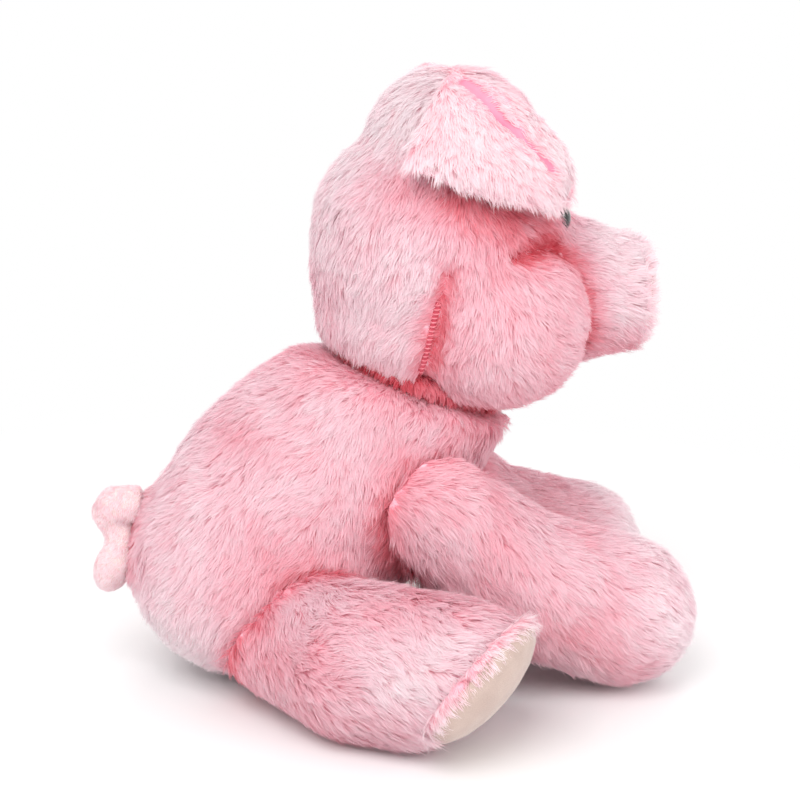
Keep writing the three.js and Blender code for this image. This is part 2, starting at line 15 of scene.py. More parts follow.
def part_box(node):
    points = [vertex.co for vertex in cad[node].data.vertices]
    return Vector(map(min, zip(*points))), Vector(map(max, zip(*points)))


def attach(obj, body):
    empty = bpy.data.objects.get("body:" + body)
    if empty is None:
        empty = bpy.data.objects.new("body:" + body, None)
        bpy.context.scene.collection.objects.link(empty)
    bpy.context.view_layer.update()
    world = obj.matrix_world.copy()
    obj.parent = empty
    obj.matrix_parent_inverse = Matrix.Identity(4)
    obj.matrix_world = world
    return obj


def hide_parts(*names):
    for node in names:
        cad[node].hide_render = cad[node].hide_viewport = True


MM = 0.001
WELD = 0.01 * MM
SIDES = ((1, "left"), (-1, "right"))
LEGS = ("front_leg", "hind_leg")
TORSO_NODES = ("torso_skin", "torso_filling")
HEAD_NODES = ("head_back_panel", "forehead_panel", "chin_panel", "head_filling")
HEAD_NODES += ("cheek_left", "cheek_right", "snout_sleeve")

# Camera, fitted to the photograph
CAMERA_AZIMUTH = 261
CAMERA_ELEVATION = 14
CAMERA_DISTANCE = 1.1
CAMERA_TARGET = (0, -0.089, 0.160)
CAMERA_LENS = 85.4
SENSOR = 36

# Neck and head seams, as the frame has them
NECK_CENTRE = np.array((0, -0.099, 0.177))
NECK_TILT = math.radians(21)
NECK_AXIS = np.array((0, -math.sin(NECK_TILT), math.cos(NECK_TILT)))
ROLL_RADIUS = 0.050
ROLL_HALF = 0.012
ROLL_BARE = 0.038
# Painted shade: the neck roll's deep coral pile stands for the shade in the neck's crease
ROLL_SHADE = 0.18
ROLL_PILE = 0.6
HIP = (0.056, -0.018, 0.042)
SEAM_POINT = np.array((0, -0.103, 0.250))
SEAM_TILT = math.radians(9)
SEAM_NORMAL = np.array((0, math.cos(SEAM_TILT), math.sin(SEAM_TILT)))
SEAM_LOW = 0.184
SEAM_HIGH = 0.232

# Stage: the lamps have their places, sizes and watts
FLOOR_REACH = 4
FLOOR_FADE = (0.2, 0.6)
PAPER = 0.93
WORLD_LIGHT = 0.75
WORLD_COLOUR = (1, 0.99, 0.985, 1)
LAMPS = {
    "key": ((-1.2, 0.6, 1.7), 1.2, 22),
    "fill": ((-1.4, -1.0, 0.9), 1.2, 9),
    "far": ((1.4, -0.6, 1.2), 1.2, 8),
}
LAMP_TARGET = (0, -0.08, 0.15)
CLOTH_SPECULAR = 0.2

# Skins
VOXEL = 4.0 * MM
EAR_VOXEL = 2.4 * MM
FINE_VOXEL = 1.2 * MM
SOLE_VOXEL = 1.6 * MM
TAIL_VOXEL = 1.3 * MM
BRIDGE = 0.5 * MM
PILE_DEPTH = 5.2 * MM
EAR_PILE_DEPTH = 3.4 * MM
FLOOR = 0.4 * MM
LOWERING_STEPS = 5
TOUCHING_SHARE = 0.25
TOUCHING = (1 * MM, 12 * MM)
FILL = 0.8
EAR_FILL = 0.5
STUFFING_PRESSURE = 4
STUFFING_FRAMES = 20
STUFFING_CAP = 2.2 * MM
SEAM_REACH = 5 * MM
SEAM_TUCK = 3 * MM
SEAM_END = (0.242, 0.262)
SEAM_SIDE = (0.03, 0.05)
NECK_SEAM_END = (1 * MM, 14 * MM)
SEAM_NAME = "seam"

# Pile
TUFTS_PER_MM2 = 0.19
STRANDS_PER_TUFT = 9
TUFT_RADIUS = 2.2 * MM
PILE_LENGTH = 11 * MM
STRAND_WIDTH = 0.52 * MM
STEPS = (0.36, 0.34, 0.30)
RISE = ((0.68, 0.42), (0.42, 0.16), (0.24, 0.03))
GATHER = (1.0, 0.95, 0.82, 0.60)
SWIRL_CLOUDS = ((0.55, 26 * MM, 1), (0.45, 8 * MM, 2))
LENGTH_CLOUDS = ((0.18, 10 * MM, 3),)
LIE = 0.55
LIE_CLOUDS = ((0.33, 15 * MM, 4),)
SHADE_CLOUDS = ((0.10, 26 * MM, 5), (0.07, 9 * MM, 6))
SCATTER = {"swirl": 0.16, "length": 0.06, "lie": 0.1, "shade": 0.04, "strand": 0.03}
SEAM_SHORT = 0.5
CREASE_SHORT = 0.4
# Painted shade: how much the pile's shade drops in creases, near other skins, in hollows and along seams
CREASE_SHADE = 0.36
NEAR_SHADE = 0.20
HOLLOW_SHADE = 0.12
SEAM_SHADE = 0.30
TUFT_TURN = 2.4
STRAND_SIZES = (0.78, 1.08)
STRAND_WIDTHS = (0.7, 1.2)
STRAY = 0.055
TWIST = 0.3
WIDTHS = (0.85, 1.0, 0.72)
# How far painted shade reaches from creases, from other skins and under the ears
CREASE_REACH = 4.5 * MM
SHADE_REACH = 13 * MM
UNDER_EAR_REACH = 15 * MM
HOLLOW_DEPTH = 0.5 * MM
MOST_STRANDS = 38000
MAP_NAME = "OFBake"
PILE_GLOW = 0.5
PARTED = 1.2
# The deepest painted shade any tuft gets
DEEPEST = 0.09
BURIED = 14 * MM
HOLLOW_REACH = 18 * MM

# Stitches
STITCH_PITCH = 2.5 * MM
BEAD_OFFSET = 0.6 * MM
BEAD_RADIUS = 1.9 * MM
BEAD_SINK = 0.5 * MM
BEAD_BARE = 2.0 * MM
THREAD_RADIUS = 0.45 * MM
STITCH_LIFT = 0.25 * MM
TUBE_END = 0.35
TURN_STEPS = 14

# Eyes
EYE_OUTWARD = 0.0337
EYE_HEIGHT = 0.2696
EYE_UP = math.radians(6)
EYE_OUT = math.radians(20)
EYE_RADIUS = 7 * MM
EYE_DOME = 4.6 * MM
EYE_BACK = 2 * MM
EYE_BARE = 6 * MM

# The rims of the soles and of the snout's disc, each with a rolled edge of cloth and a fringe of pile
PIPING_RADIUS = 2.6 * MM
PIPING_IN = 3.0 * MM
PIPING_POINTS = 73
PIPING_SIDES = 10
RIM_SHARE = 0.95
FRINGE_INWARDS = 0.35
FRINGE_SHADE = 0.86
FRINGE_PILE = 0.75
SNOUT_EDGE = -0.2235
SNOUT_MIDDLE = np.array((0, -0.225, 0.2195))
SOLE_BARE = 1.5 * MM
SOLE_HIDES = 11 * MM
FRINGE_REACH = 9 * MM

# Tail: smooth cloth with a short nap
TAIL_SWELL = 0.4 * MM
TAIL_FILL = 2.2 * MM
TAIL_NAP = 0.26
TAIL_COMB = np.array((0.3, 0.5, -0.8))
TAIL_SHADE = 0.99

# Bands, from first place to last, in which the combing, length and shade of the pile change
SEAM_COMB = (-10 * MM, 10 * MM)
SEAM_PARTED = 5 * MM
OPEN_SEAM_END = (SEAM_HIGH, SEAM_HIGH + 0.02)
CHEEK_COMB = (0.115, 0.17)
SNOUT_COMB = (0.178, 0.205)
DISC_COMB = (0.210, 0.220)
DISC_LONG = (0.205, 0.215)
RIM_COMB = (-22 * MM, -6 * MM)
RIM_SHORT = (-20 * MM, -4 * MM)
CHEST_COMB = (0.125, 0.145)
SHOULDER_COMB = (0.105, 0.135)
PAW_COMB = (0.12, 0.20)
HIP_COMB = (0, 0.05)
CROWN_COMB = (0.27, 0.31)
CROWN_LIE = 0.35
HIND_LEG_LIE = 0.15
TORSO_TOP = (0.12, 0.17)
TORSO_REAR = (0, 0.05)
RUMP = (0.040, 0.085)
# CROWN_PALE and BEHIND_SEAM bound painted light on the head, SNOUT_LOW and UNDER_EAR painted shade
SNOUT_PALE = (0.180, 0.205)
SNOUT_LOW = (0.195, 0.225)
CROWN_PALE = (0.285, 0.325)
BEHIND_SEAM = (-4 * MM, 12 * MM)
UNDER_EAR = (0.292, 0.312)
PAW_PALE = (0.18, 0.24)
TOE_PALE = (0.12, 0.165)
SHADES = {"torso": 0.66, "head": 0.65, "front_leg": 0.65, "hind_leg": 0.64, "ear": 0.95}

# Where the pile of each ear fans out from
EAR_FAN = (0.020, -0.112, 0.395)

# The pink fold down the front of each ear: its points from the crown to the tip, for the left ear
EAR_FOLD = ((0.0475, -0.1166, 0.3495), (0.0673, -0.1334, 0.3299), (0.0732, -0.1607, 0.3021))
FOLD_REACH = 5.2 * MM
FOLD_TAPER = 0.6
FOLD_TUCK = 3 * MM
FOLD_BARE = 0.38
EAR_LIE = 0.3

# The rear and lower edges of each ear: how y runs with z, how z runs with y, and each edge's band
EAR_REAR = -0.67
EAR_REAR_BAND = (0.116, 0.128)
EAR_LOW = 0.339
EAR_LOW_BAND = (0.336, 0.348)


# Small helpers


def rng_of(name):
    """A random generator that is the same on each run."""
    return np.random.default_rng(sum(ord(c) * (i + 1) for i, c in enumerate(name)))


def unit(vectors):
    return vectors / np.maximum(np.linalg.norm(vectors, axis=-1, keepdims=True), 1e-9)


def smooth_step(value, low, high):
    t = np.clip((value - low) / (high - low), 0, 1)
    return t * t * (3 - 2 * t)


def ahead(p, band):
    """From 0 to 1 as places move ahead through a band."""
    return smooth_step(-p[:, 1], *band)


def above(p, band):
    """From 0 to 1 as places rise through a band."""
    return smooth_step(p[:, 2], *band)


def lattice(cells, seed):
    """A fixed value from 0 to 1 at each whole-number place."""
    mixed = cells[:, 0] * 73856093 ^ cells[:, 1] * 19349663 ^ cells[:, 2] * 83492791 ^ seed * 2654435761
    mixed = (mixed ^ (mixed >> 13)) * 1274126177
    return ((mixed ^ (mixed >> 16)) & 0xFFFF) / 0xFFFF


def cloudy(points, size, seed):
    """Smooth noise from -1 to 1 with features of that size."""
    places = points / size
    cells = np.floor(places).astype(np.int64)
    part = places - cells
    part = part * part * (3 - 2 * part)
    total = np.zeros(len(points))
    for corner in np.ndindex(2, 2, 2):
        step = np.array(corner)
        weight = np.prod(np.where(step == 1, part, 1 - part), axis=1)
        total += weight * lattice(cells + step, seed)
    return total * 2 - 1


def between(share, low, high):
    """Directions that turn from the first to the second as the share of each place grows."""
    share = share[:, None]
    return np.array(low) * (1 - share) + np.array(high) * share


def clouds(points, layers):
    """Noise in layers, each with its strength, the size of its features and its seed."""
    return sum(strength * cloudy(points, size, seed) for strength, size, seed in layers)


def new_object(name, data):
    made = bpy.data.objects.new(name, data)
    bpy.context.scene.collection.objects.link(made)
    return made


def joined_copy(name, nodes, grow=0.0):
    """One new object with the meshes of these CAD nodes, each grown a little so that they join."""
    joined = bmesh.new()
    for node in nodes:
        part = bmesh.new()
        part.from_mesh(cad[node].data)
        bmesh.ops.remove_doubles(part, verts=part.verts, dist=WELD)
        part.normal_update()
        for vertex in part.verts:
            vertex.co += vertex.normal * grow
        mesh = bpy.data.meshes.new(node)
        part.to_mesh(mesh)
        part.free()
        joined.from_mesh(mesh)
        bpy.data.meshes.remove(mesh)
    mesh = bpy.data.meshes.new(name)
    joined.to_mesh(mesh)
    joined.free()
    return new_object(name, mesh)


def applied(made, *modifiers):
    """The object with these modifiers applied, each a kind and its settings."""
    for kind, settings in modifiers:
        modifier = made.modifiers.new(kind.lower(), kind)
        for key, value in settings.items():
            setattr(modifier, key, value)
    graph = bpy.context.evaluated_depsgraph_get()
    old, made.data = made.data, bpy.data.meshes.new_from_object(made.evaluated_get(graph))
    made.modifiers.clear()
    bpy.data.meshes.remove(old)
    return made


def values_of(items, key, width, kind=np.int32):
    """A row of values for each item of a mesh."""
    flat = np.empty(len(items) * width, kind)
    items.foreach_get(key, flat)
    return flat.reshape(-1, width)


def points_of(mesh, key="co"):
    return values_of(mesh.vertices, key, 3, np.float32).astype(float)


def normals_of(mesh):
    return points_of(mesh, "normal")


def set_points(mesh, points):
    mesh.vertices.foreach_set("co", points.astype(np.float32).ravel())
    mesh.update()


def shade_smooth(mesh):
    mesh.polygons.foreach_set("use_smooth", np.ones(len(mesh.polygons), bool))


# Materials


class Nodes:
    """The node tree of a material or world, with short ways to add and join its nodes."""

    def __init__(self, owner, output="ShaderNodeOutputMaterial"):
        self.owner = owner
        owner.use_nodes = True
        self.tree = owner.node_tree
        self.tree.nodes.clear()
        self.output = self.add(output)

    def add(self, kind, inputs=None, **settings):
        """A node with its settings. Each input gets a value, or the output of another node."""
        node = self.tree.nodes.new(kind)
        for key, value in settings.items():
            setattr(node, key, value)
        for key, value in (inputs or {}).items():
            if isinstance(value, bpy.types.NodeSocket):
                self.tree.links.new(value, node.inputs[key])
            else:
                node.inputs[key].default_value = value
        return node

    def finish(self, shader):
        """The material or world, with this shader as its surface."""
        self.tree.links.new(shader.outputs[0], self.output.inputs[0])
        return self.owner

    def surface(self, **values):
        """A Principled surface, with the values at the sockets that they name."""
        values = {key.replace("_", " "): value for key, value in values.items()}
        return self.add("ShaderNodeBsdfPrincipled", values)

    def surfaced(self, **values):
        return self.finish(self.surface(**values))

    def blended(self, factor, first, second):
        """Two shaders in one, by a share or by a node's output."""
        return self.add("ShaderNodeMixShader", {0: factor, 1: first.outputs[0], 2: second.outputs[0]})

    def ramp(self, factor, stops):
        node = self.add("ShaderNodeValToRGB", {0: factor})
        elements = node.color_ramp.elements
        while len(elements) < len(stops):
            elements.new(0.5)
        for element, (place, colour) in zip(elements, stops):
            element.position = place
            element.color = (*colour, 1)
        return node.outputs[0]

    def patches(self, scale, detail, low, high):
        """A colour that runs from low to high in soft patches."""
        return self.ramp(self.noise(scale, detail), ((0.3, low), (0.7, high)))

    def multiplied(self, first, second):
        inputs = {0: 1.0, 6: first, 7: second}
        return self.add("ShaderNodeMix", inputs, data_type="RGBA", blend_type="MULTIPLY").outputs[2]

    def noise(self, scale, detail, stretch=(1, 1, 1)):
        place = self.add("ShaderNodeTexCoord").outputs["Object"]
        place = self.add("ShaderNodeMapping", {0: place, "Scale": stretch}).outputs[0]
        return self.add("ShaderNodeTexNoise", {0: place, "Scale": scale, "Detail": detail}).outputs["Fac"]

    def bump(self, height, strength, distance):
        inputs = {"Height": height, "Strength": strength, "Distance": distance}
        return self.add("ShaderNodeBump", inputs).outputs[0]


def new_material(name):
    return Nodes(bpy.data.materials.new(name))


def srgb(red, green, blue):
    """A colour as a screen shows it, for a shader."""
    return tuple((value / 255) ** 2.2 for value in (red, green, blue))


def pile_material():
    """Pink pile: the map's first value is the shade, its second runs from root to tip, with painted shade
    towards the root.
    """
    nodes = new_material("pink_pile")
    place = nodes.add("ShaderNodeUVMap", uv_map=MAP_NAME).outputs[0]
    shade, along = nodes.add("ShaderNodeSeparateXYZ", {0: place}).outputs[:2]
    # From deep coral to near white: the low end takes the painted shade of creases, hollows and seams, the
    # high end the painted light on the crown
    shades = (
        (0.0, srgb(204, 56, 72)),
        (0.13, srgb(232, 118, 130)),
        (0.28, srgb(247, 168, 180)),
        (0.5, srgb(253, 213, 222)),
        (0.75, srgb(254, 236, 241)),
        (1.0, srgb(255, 252, 253)),
    )
    # Painted shade: each strand darker and deeper pink towards its root, for the shade deep in the pile
    root_shade = ((0, (1.0, 0.74, 0.78)), (0.5, (1.0, 0.93, 0.95)), (1, (1, 1, 1)))
    colour = nodes.multiplied(nodes.ramp(shade, shades), nodes.ramp(along, root_shade))
    shader = nodes.surface(
        Base_Color=colour,
        Roughness=0.75,
        Specular_IOR_Level=CLOTH_SPECULAR,
        Sheen_Weight=0.2,
        Sheen_Roughness=0.4,
        Sheen_Tint=(1, 0.85, 0.9, 1),
    )
    through = nodes.add("ShaderNodeBsdfTranslucent", {0: colour})
    return nodes.finish(nodes.blended(PILE_GLOW, shader, through))


def backing_material(name, low, high):
    """The cloth that the pile grows from."""
    nodes = new_material(name)
    return nodes.surfaced(
        Base_Color=nodes.patches(90, 3, low, high),
        Roughness=0.9,
        Specular_IOR_Level=CLOTH_SPECULAR,
        Normal=nodes.bump(nodes.noise(900, 3), 0.5, 0.6 * MM),
    )


def velour_material(name, low, high):
    """Short velour: soft mottling and a fine nap."""
    nodes = new_material(name)
    nap = nodes.patches(1500, 2, (0.88, 0.86, 0.85), (1, 1, 1))
    return nodes.surfaced(
        Base_Color=nodes.multiplied(nodes.patches(70, 4, low, high), nap),
        Roughness=0.85,
        Specular_IOR_Level=CLOTH_SPECULAR,
        Sheen_Weight=0.5,
        Sheen_Roughness=0.35,
        Normal=nodes.bump(nodes.noise(1300, 2), 0.45, 0.5 * MM),
    )


def satin_material():
    """Smooth pink cloth inside the ears, with a fine weave."""
    nodes = new_material("pink_satin")
    return nodes.surfaced(
        Base_Color=nodes.patches(60, 3, (0.78, 0.22, 0.34), (0.86, 0.34, 0.46)),
        Roughness=0.5,
        Sheen_Weight=0.3,
        Normal=nodes.bump(nodes.noise(1100, 1, (1, 1, 3)), 0.35, 0.3 * MM),
    )


def thread_material():
    nodes = new_material("pink_thread")
    return nodes.surfaced(
        Base_Color=nodes.patches(700, 2, srgb(224, 118, 132), srgb(238, 146, 158)),
        Roughness=0.55,
        Sheen_Weight=0.3,
        Normal=nodes.bump(nodes.noise(2500, 1), 0.3, 0.1 * MM),
    )


def button_material():
    """Polished black plastic, with the faint marks of handling."""
    nodes = new_material("black_plastic")
    marks = nodes.ramp(nodes.noise(400, 3), ((0.35, (0.07,) * 3), (0.75, (0.16,) * 3)))
    black = (0.006, 0.005, 0.005, 1)
    return nodes.surfaced(Base_Color=black, Roughness=marks, Coat_Weight=0.6, Coat_Roughness=0.05)


def moulded_material():
    nodes = new_material("white_plastic")
    colour = nodes.patches(200, 3, (0.74, 0.74, 0.72), (0.82, 0.82, 0.8))
    return nodes.surfaced(Base_Color=colour, Roughness=0.5)


# Skins


def outer_shell(mesh):
    """Drops each loose part but the largest."""
    whole = bmesh.new()
    whole.from_mesh(mesh)
    left, parts = set(whole.verts), []
    while left:
        part = [left.pop()]
        for vertex in part:
            found = {edge.other_vert(vertex) for edge in vertex.link_edges} & left
            left -= found
            part += found
        parts.append(part)
    parts.sort(key=len)
    for part in parts[:-1]:
        bmesh.ops.delete(whole, geom=part, context="VERTS")
    whole.to_mesh(mesh)
    whole.free()


def stuffed(made, held):
    """The stuffing swells the skin against its cloth. held names the vertices that a seam holds."""
    before = points_of(made.data)
    cloth = made.modifiers.new("cloth", "CLOTH")
    settings = cloth.settings
    settings.quality = 4
    settings.use_pressure = True
    settings.uniform_pressure_force = STUFFING_PRESSURE
    settings.effector_weights.gravity = 0
    if held.any():
        group = made.vertex_groups.new(name="held")
        group.add([int(i) for i in np.nonzero(held)[0]], 1.0, "REPLACE")
        settings.vertex_group_mass = "held"
    cloth.point_cache.frame_end = STUFFING_FRAMES
    scene = bpy.context.scene
    for step in range(1, STUFFING_FRAMES + 1):
        scene.frame_set(step)
    graph = bpy.context.evaluated_depsgraph_get()
    after = points_of(made.evaluated_get(graph).data)
    made.modifiers.clear()
    made.vertex_groups.clear()
    scene.frame_set(1)
    moved = after - before
    size = np.linalg.norm(moved, axis=1, keepdims=True)
    set_points(made.data, before + moved * np.minimum(1, STUFFING_CAP / np.maximum(size, 1e-9)))


def averaging(mesh):
    """A function that gives each vertex the mean of its neighbours' values."""
    first, second = values_of(mesh.edges, "vertices", 2).T
    size = len(mesh.vertices)
    counts = np.maximum(np.bincount(first, minlength=size) + np.bincount(second, minlength=size), 1)

    def averaged(values):
        columns = []
        for column in values.T:
            total = np.bincount(first, column[second], size) + np.bincount(second, column[first], size)
            columns.append(total / counts)
        return np.stack(columns, axis=1)

    return averaged


def lowered(mesh, depth, neighbours):
    """Moves the skin inwards in small steps, smoothing thin edges away on the way.

    Where another part touches it, it moves little, so that seams stay shut.
    """
    averaged = averaging(mesh)
    near = distances_to(points_of(mesh), neighbours)
    share = TOUCHING_SHARE + (1 - TOUCHING_SHARE) * smooth_step(near, *TOUCHING)
    step = (share * depth / LOWERING_STEPS)[:, None]
    for _ in range(LOWERING_STEPS):
        points = points_of(mesh) - normals_of(mesh) * step
        set_points(mesh, points * 0.5 + averaged(points) * 0.5)


def remeshed(made, voxel, rounds):
    """A form as one smooth mesh of even faces."""
    smoothing = {"factor": 0.5, "iterations": rounds}
    return applied(made, ("REMESH", {"mode": "VOXEL", "voxel_size": voxel}), ("SMOOTH", smoothing))


def full_form(name, nodes, voxel=VOXEL, rounds=3):
    """The CAD forms joined as one smooth closed skin."""
    form = remeshed(joined_copy(name, nodes, BRIDGE), voxel, rounds)
    outer_shell(form.data)
    return form


def swollen(mesh, size, fill):
    """Moves the skin outwards, and further where it is hollow."""
    out = size + fill * np.clip(hollowness(mesh), 0, 1)
    set_points(mesh, points_of(mesh) + normals_of(mesh) * out[:, None])


def meeting(points, first, second):
    """How near each point is to where two sets of skins meet, 1 where it is on their seam."""
    gap = np.maximum(np.abs(distances_to(points, first)), np.abs(distances_to(points, second)))
    return np.exp(-((gap / SEAM_REACH) ** 2))


def backing_of(skin, neighbours, depth=PILE_DEPTH, seams=None, tuck=SEAM_TUCK):
    """Turns a full form into the cloth under the pile, stuffed, pulled in at its seams and on the floor."""
    seam = seams(points_of(skin.data)) if seams else np.zeros(len(skin.data.vertices))
    lowered(skin.data, depth, neighbours)
    stuffed(skin, seam > 0.5)
    set_points(skin.data, points_of(skin.data) - normals_of(skin.data) * (seam * tuck)[:, None])
    skin.data.attributes.new(SEAM_NAME, "FLOAT", "POINT").data.foreach_set("value", seam.astype(np.float32))
    applied(skin, ("SUBSURF", {"levels": 1}))
    points = points_of(skin.data)
    points[:, 2] = np.maximum(points[:, 2], FLOOR)
    set_points(skin.data, points)
    shade_smooth(skin.data)
    skin.data.materials.append(materials["backing"])


def tree_of(made):
    return BVHTree.FromObject(made, bpy.context.evaluated_depsgraph_get())


def distances_to(points, trees):
    """How far each point is outside the nearest of these skins, negative inside."""
    found = np.full(len(points), 1.0)
    for tree in trees:
        for i, point in enumerate(points):
            place, normal, _, gap = tree.find_nearest(Vector(point))
            sign = 1 if (Vector(point) - place).dot(normal) > 0 else -1
            found[i] = min(found[i], gap * sign)
    return found


def nearness(points, trees, reach):
    """1 at these skins, fading away from them."""
    return np.exp(-np.maximum(distances_to(points, trees), 0) / reach)


def hollowness(mesh, rounds=8):
    """How concave the skin is at each vertex, about 1 in a crease."""
    averaged = averaging(mesh)
    points = around = points_of(mesh)
    for _ in range(rounds):
        around = averaged(around)
    rise = ((around - points) * normals_of(mesh)).sum(axis=1, keepdims=True) / HOLLOW_DEPTH
    for _ in range(3):
        rise = averaged(rise)
    return np.clip(rise[:, 0], -1, 1)


# Pile


def sampled(mesh, per_mm2, rng):
    """Even places on a mesh: each one's face corners and its weights in them."""
    mesh.calc_loop_triangles()
    corners = values_of(mesh.loop_triangles, "vertices", 3)
    points = points_of(mesh)
    a, b, c = (points[corners[:, k]] for k in range(3))
    areas = np.linalg.norm(np.cross(b - a, c - a), axis=1) / 2
    total = areas.sum()
    count = int(total / MM**2 * per_mm2)
    marks = (np.arange(count) + rng.random(count)) / count * total
    faces = np.minimum(np.searchsorted(np.cumsum(areas), marks), len(corners) - 1)
    u, v = rng.random((2, count))
    flip = u + v > 1
    u[flip], v[flip] = 1 - u[flip], 1 - v[flip]
    return corners[faces], np.stack((1 - u - v, u, v), axis=1)


def spread(values, corners, weights):
    """Vertex values at sampled places."""
    picked = values[corners]
    return (picked * weights.reshape(weights.shape + (1,) * (picked.ndim - 2))).sum(axis=1)


def uphill(mesh, values, corners):
    """The way along the skin in which a vertex value grows, at each sampled place."""
    points = points_of(mesh)
    a, b, c = (points[corners[:, k]] for k in range(3))
    first, second, third = (values[corners[:, k]][:, None] for k in range(3))
    normal = unit(np.cross(b - a, c - a))
    slope = np.cross(normal, c - b) * first + np.cross(normal, a - c) * second
    return unit(slope + np.cross(normal, b - a) * third)


def turned_about(vectors, axes, angles):
    """Each vector turned about its own axis."""
    cosine, sine = np.cos(angles)[:, None], np.sin(angles)[:, None]
    return vectors * cosine + np.cross(axes, vectors) * sine


def ribbons(name, stations, across, width, shades):
    """Tapered ribbons as one mesh. The map holds each one's shade, and runs from root to tip."""
    count = len(width)
    rings = []
    for k, share in enumerate(WIDTHS):
        half = across * (width * share / 2)[:, None]
        rings += [stations[k] - half, stations[k] + half]
    points = np.stack([*rings, stations[3]], axis=1)
    points[:, :, 2] = np.maximum(points[:, :, 2], FLOOR)
    corner = np.array((0, 1, 3, 2, 2, 3, 5, 4, 4, 5, 6))
    each = len(WIDTHS) * 2 + 1
    corners = (np.arange(count)[:, None] * each + corner).ravel()
    sizes = np.tile((4, 4, 3), count)
    starts = np.concatenate(([0], np.cumsum(sizes)[:-1]))
    mesh = bpy.data.meshes.new(name)
    mesh.vertices.add(count * each)
    mesh.vertices.foreach_set("co", points.astype(np.float32).ravel())
    mesh.loops.add(len(corners))
    mesh.loops.foreach_set("vertex_index", corners.astype(np.int32))
    mesh.polygons.add(len(sizes))
    mesh.polygons.foreach_set("loop_start", starts.astype(np.int32))
    mesh.update(calc_edges=True)
    along = np.array((0.02, 0.02, 0.36, 0.36, 0.70, 0.70, 0.98))
    aside = np.array((-1, 1, -1, 1, -1, 1, 0)) * 0.006
    u = np.clip(shades, 0.01, 0.99)[:, None] + aside
    values = np.stack((u, np.broadcast_to(along, u.shape)), axis=2)
    layer = mesh.uv_layers.new(name=MAP_NAME, do_init=False)
    layer.uv.foreach_set("vector", values[:, corner].astype(np.float32).ravel())
    shade_smooth(mesh)
    mesh.materials.append(materials["pile"])
    return new_object(name, mesh)


def seam_at_faces(mesh):
    """How near each face is to a seam: the mean of its vertices, which are four in a remeshed skin."""
    corners = values_of(mesh.loops, "vertex_index", 1)[:, 0]
    starts = values_of(mesh.polygons, "loop_start", 1)[:, 0]
    return np.add.reduceat(seam_of(mesh)[corners], starts) / 4


def seam_of(mesh):
    """How near each vertex is to a seam, as backing_of left it."""
    if SEAM_NAME not in mesh.attributes:
        return np.zeros(len(mesh.vertices))
    return values_of(mesh.attributes[SEAM_NAME].data, "value", 1, np.float32)[:, 0].astype(float)


def at(rule, *places):
    """What a rule gives at these places: a function of them, or one value for them all."""
    return rule(*places) if callable(rule) else rule


def strands(name, rng, place, normal, flow, long, flat, shade):
    """Ribbons for the strands of each tuft, bent along the tuft's own curve."""
    count = len(place)
    side = unit(np.cross(normal, flow))
    curve, places = np.zeros((count, 3)), []
    for step, (steep, low) in zip(STEPS, RISE):
        places.append(curve)
        rise = (steep + (low - steep) * flat)[:, None]
        curve = curve + (normal * rise + flow * np.sqrt(1 - rise**2)) * (long * step)[:, None]
    places.append(curve)
    total = count * STRANDS_PER_TUFT
    own = np.repeat(np.arange(count), STRANDS_PER_TUFT)
    order = np.tile(np.arange(STRANDS_PER_TUFT), count)
    angle = order * TUFT_TURN + rng.uniform(0, 2 * math.pi, count)[own]
    reach = TUFT_RADIUS * np.sqrt((order + 0.6) / STRANDS_PER_TUFT)
    offset = side[own] * (np.cos(angle) * reach)[:, None] + flow[own] * (np.sin(angle) * reach)[:, None]
    size = rng.uniform(*STRAND_SIZES, total)[:, None]
    stray = rng.normal(0, STRAY, (total, 3)) * long[own][:, None]
    stations = []
    for k, (spot, gather) in enumerate(zip(places, GATHER)):
        stations.append(place[own] + spot[own] * size + offset * gather + stray * (k / 3) ** 1.5)
    twist = rng.normal(0, TWIST, total)[:, None]
    across = unit(side[own] * np.cos(twist) + normal[own] * np.sin(twist))
    width = STRAND_WIDTH * rng.uniform(*STRAND_WIDTHS, total) * 1
    strand_shade = shade[own] + rng.normal(0, SCATTER["strand"], total)
    made = []
    for start in range(0, total, MOST_STRANDS):
        part = slice(start, start + MOST_STRANDS)
        path = [values[part] for values in stations]
        label = f"{name}_{len(made) + 1}"
        made.append(ribbons(label, path, across[part], width[part], strand_shade[part]))
    return made


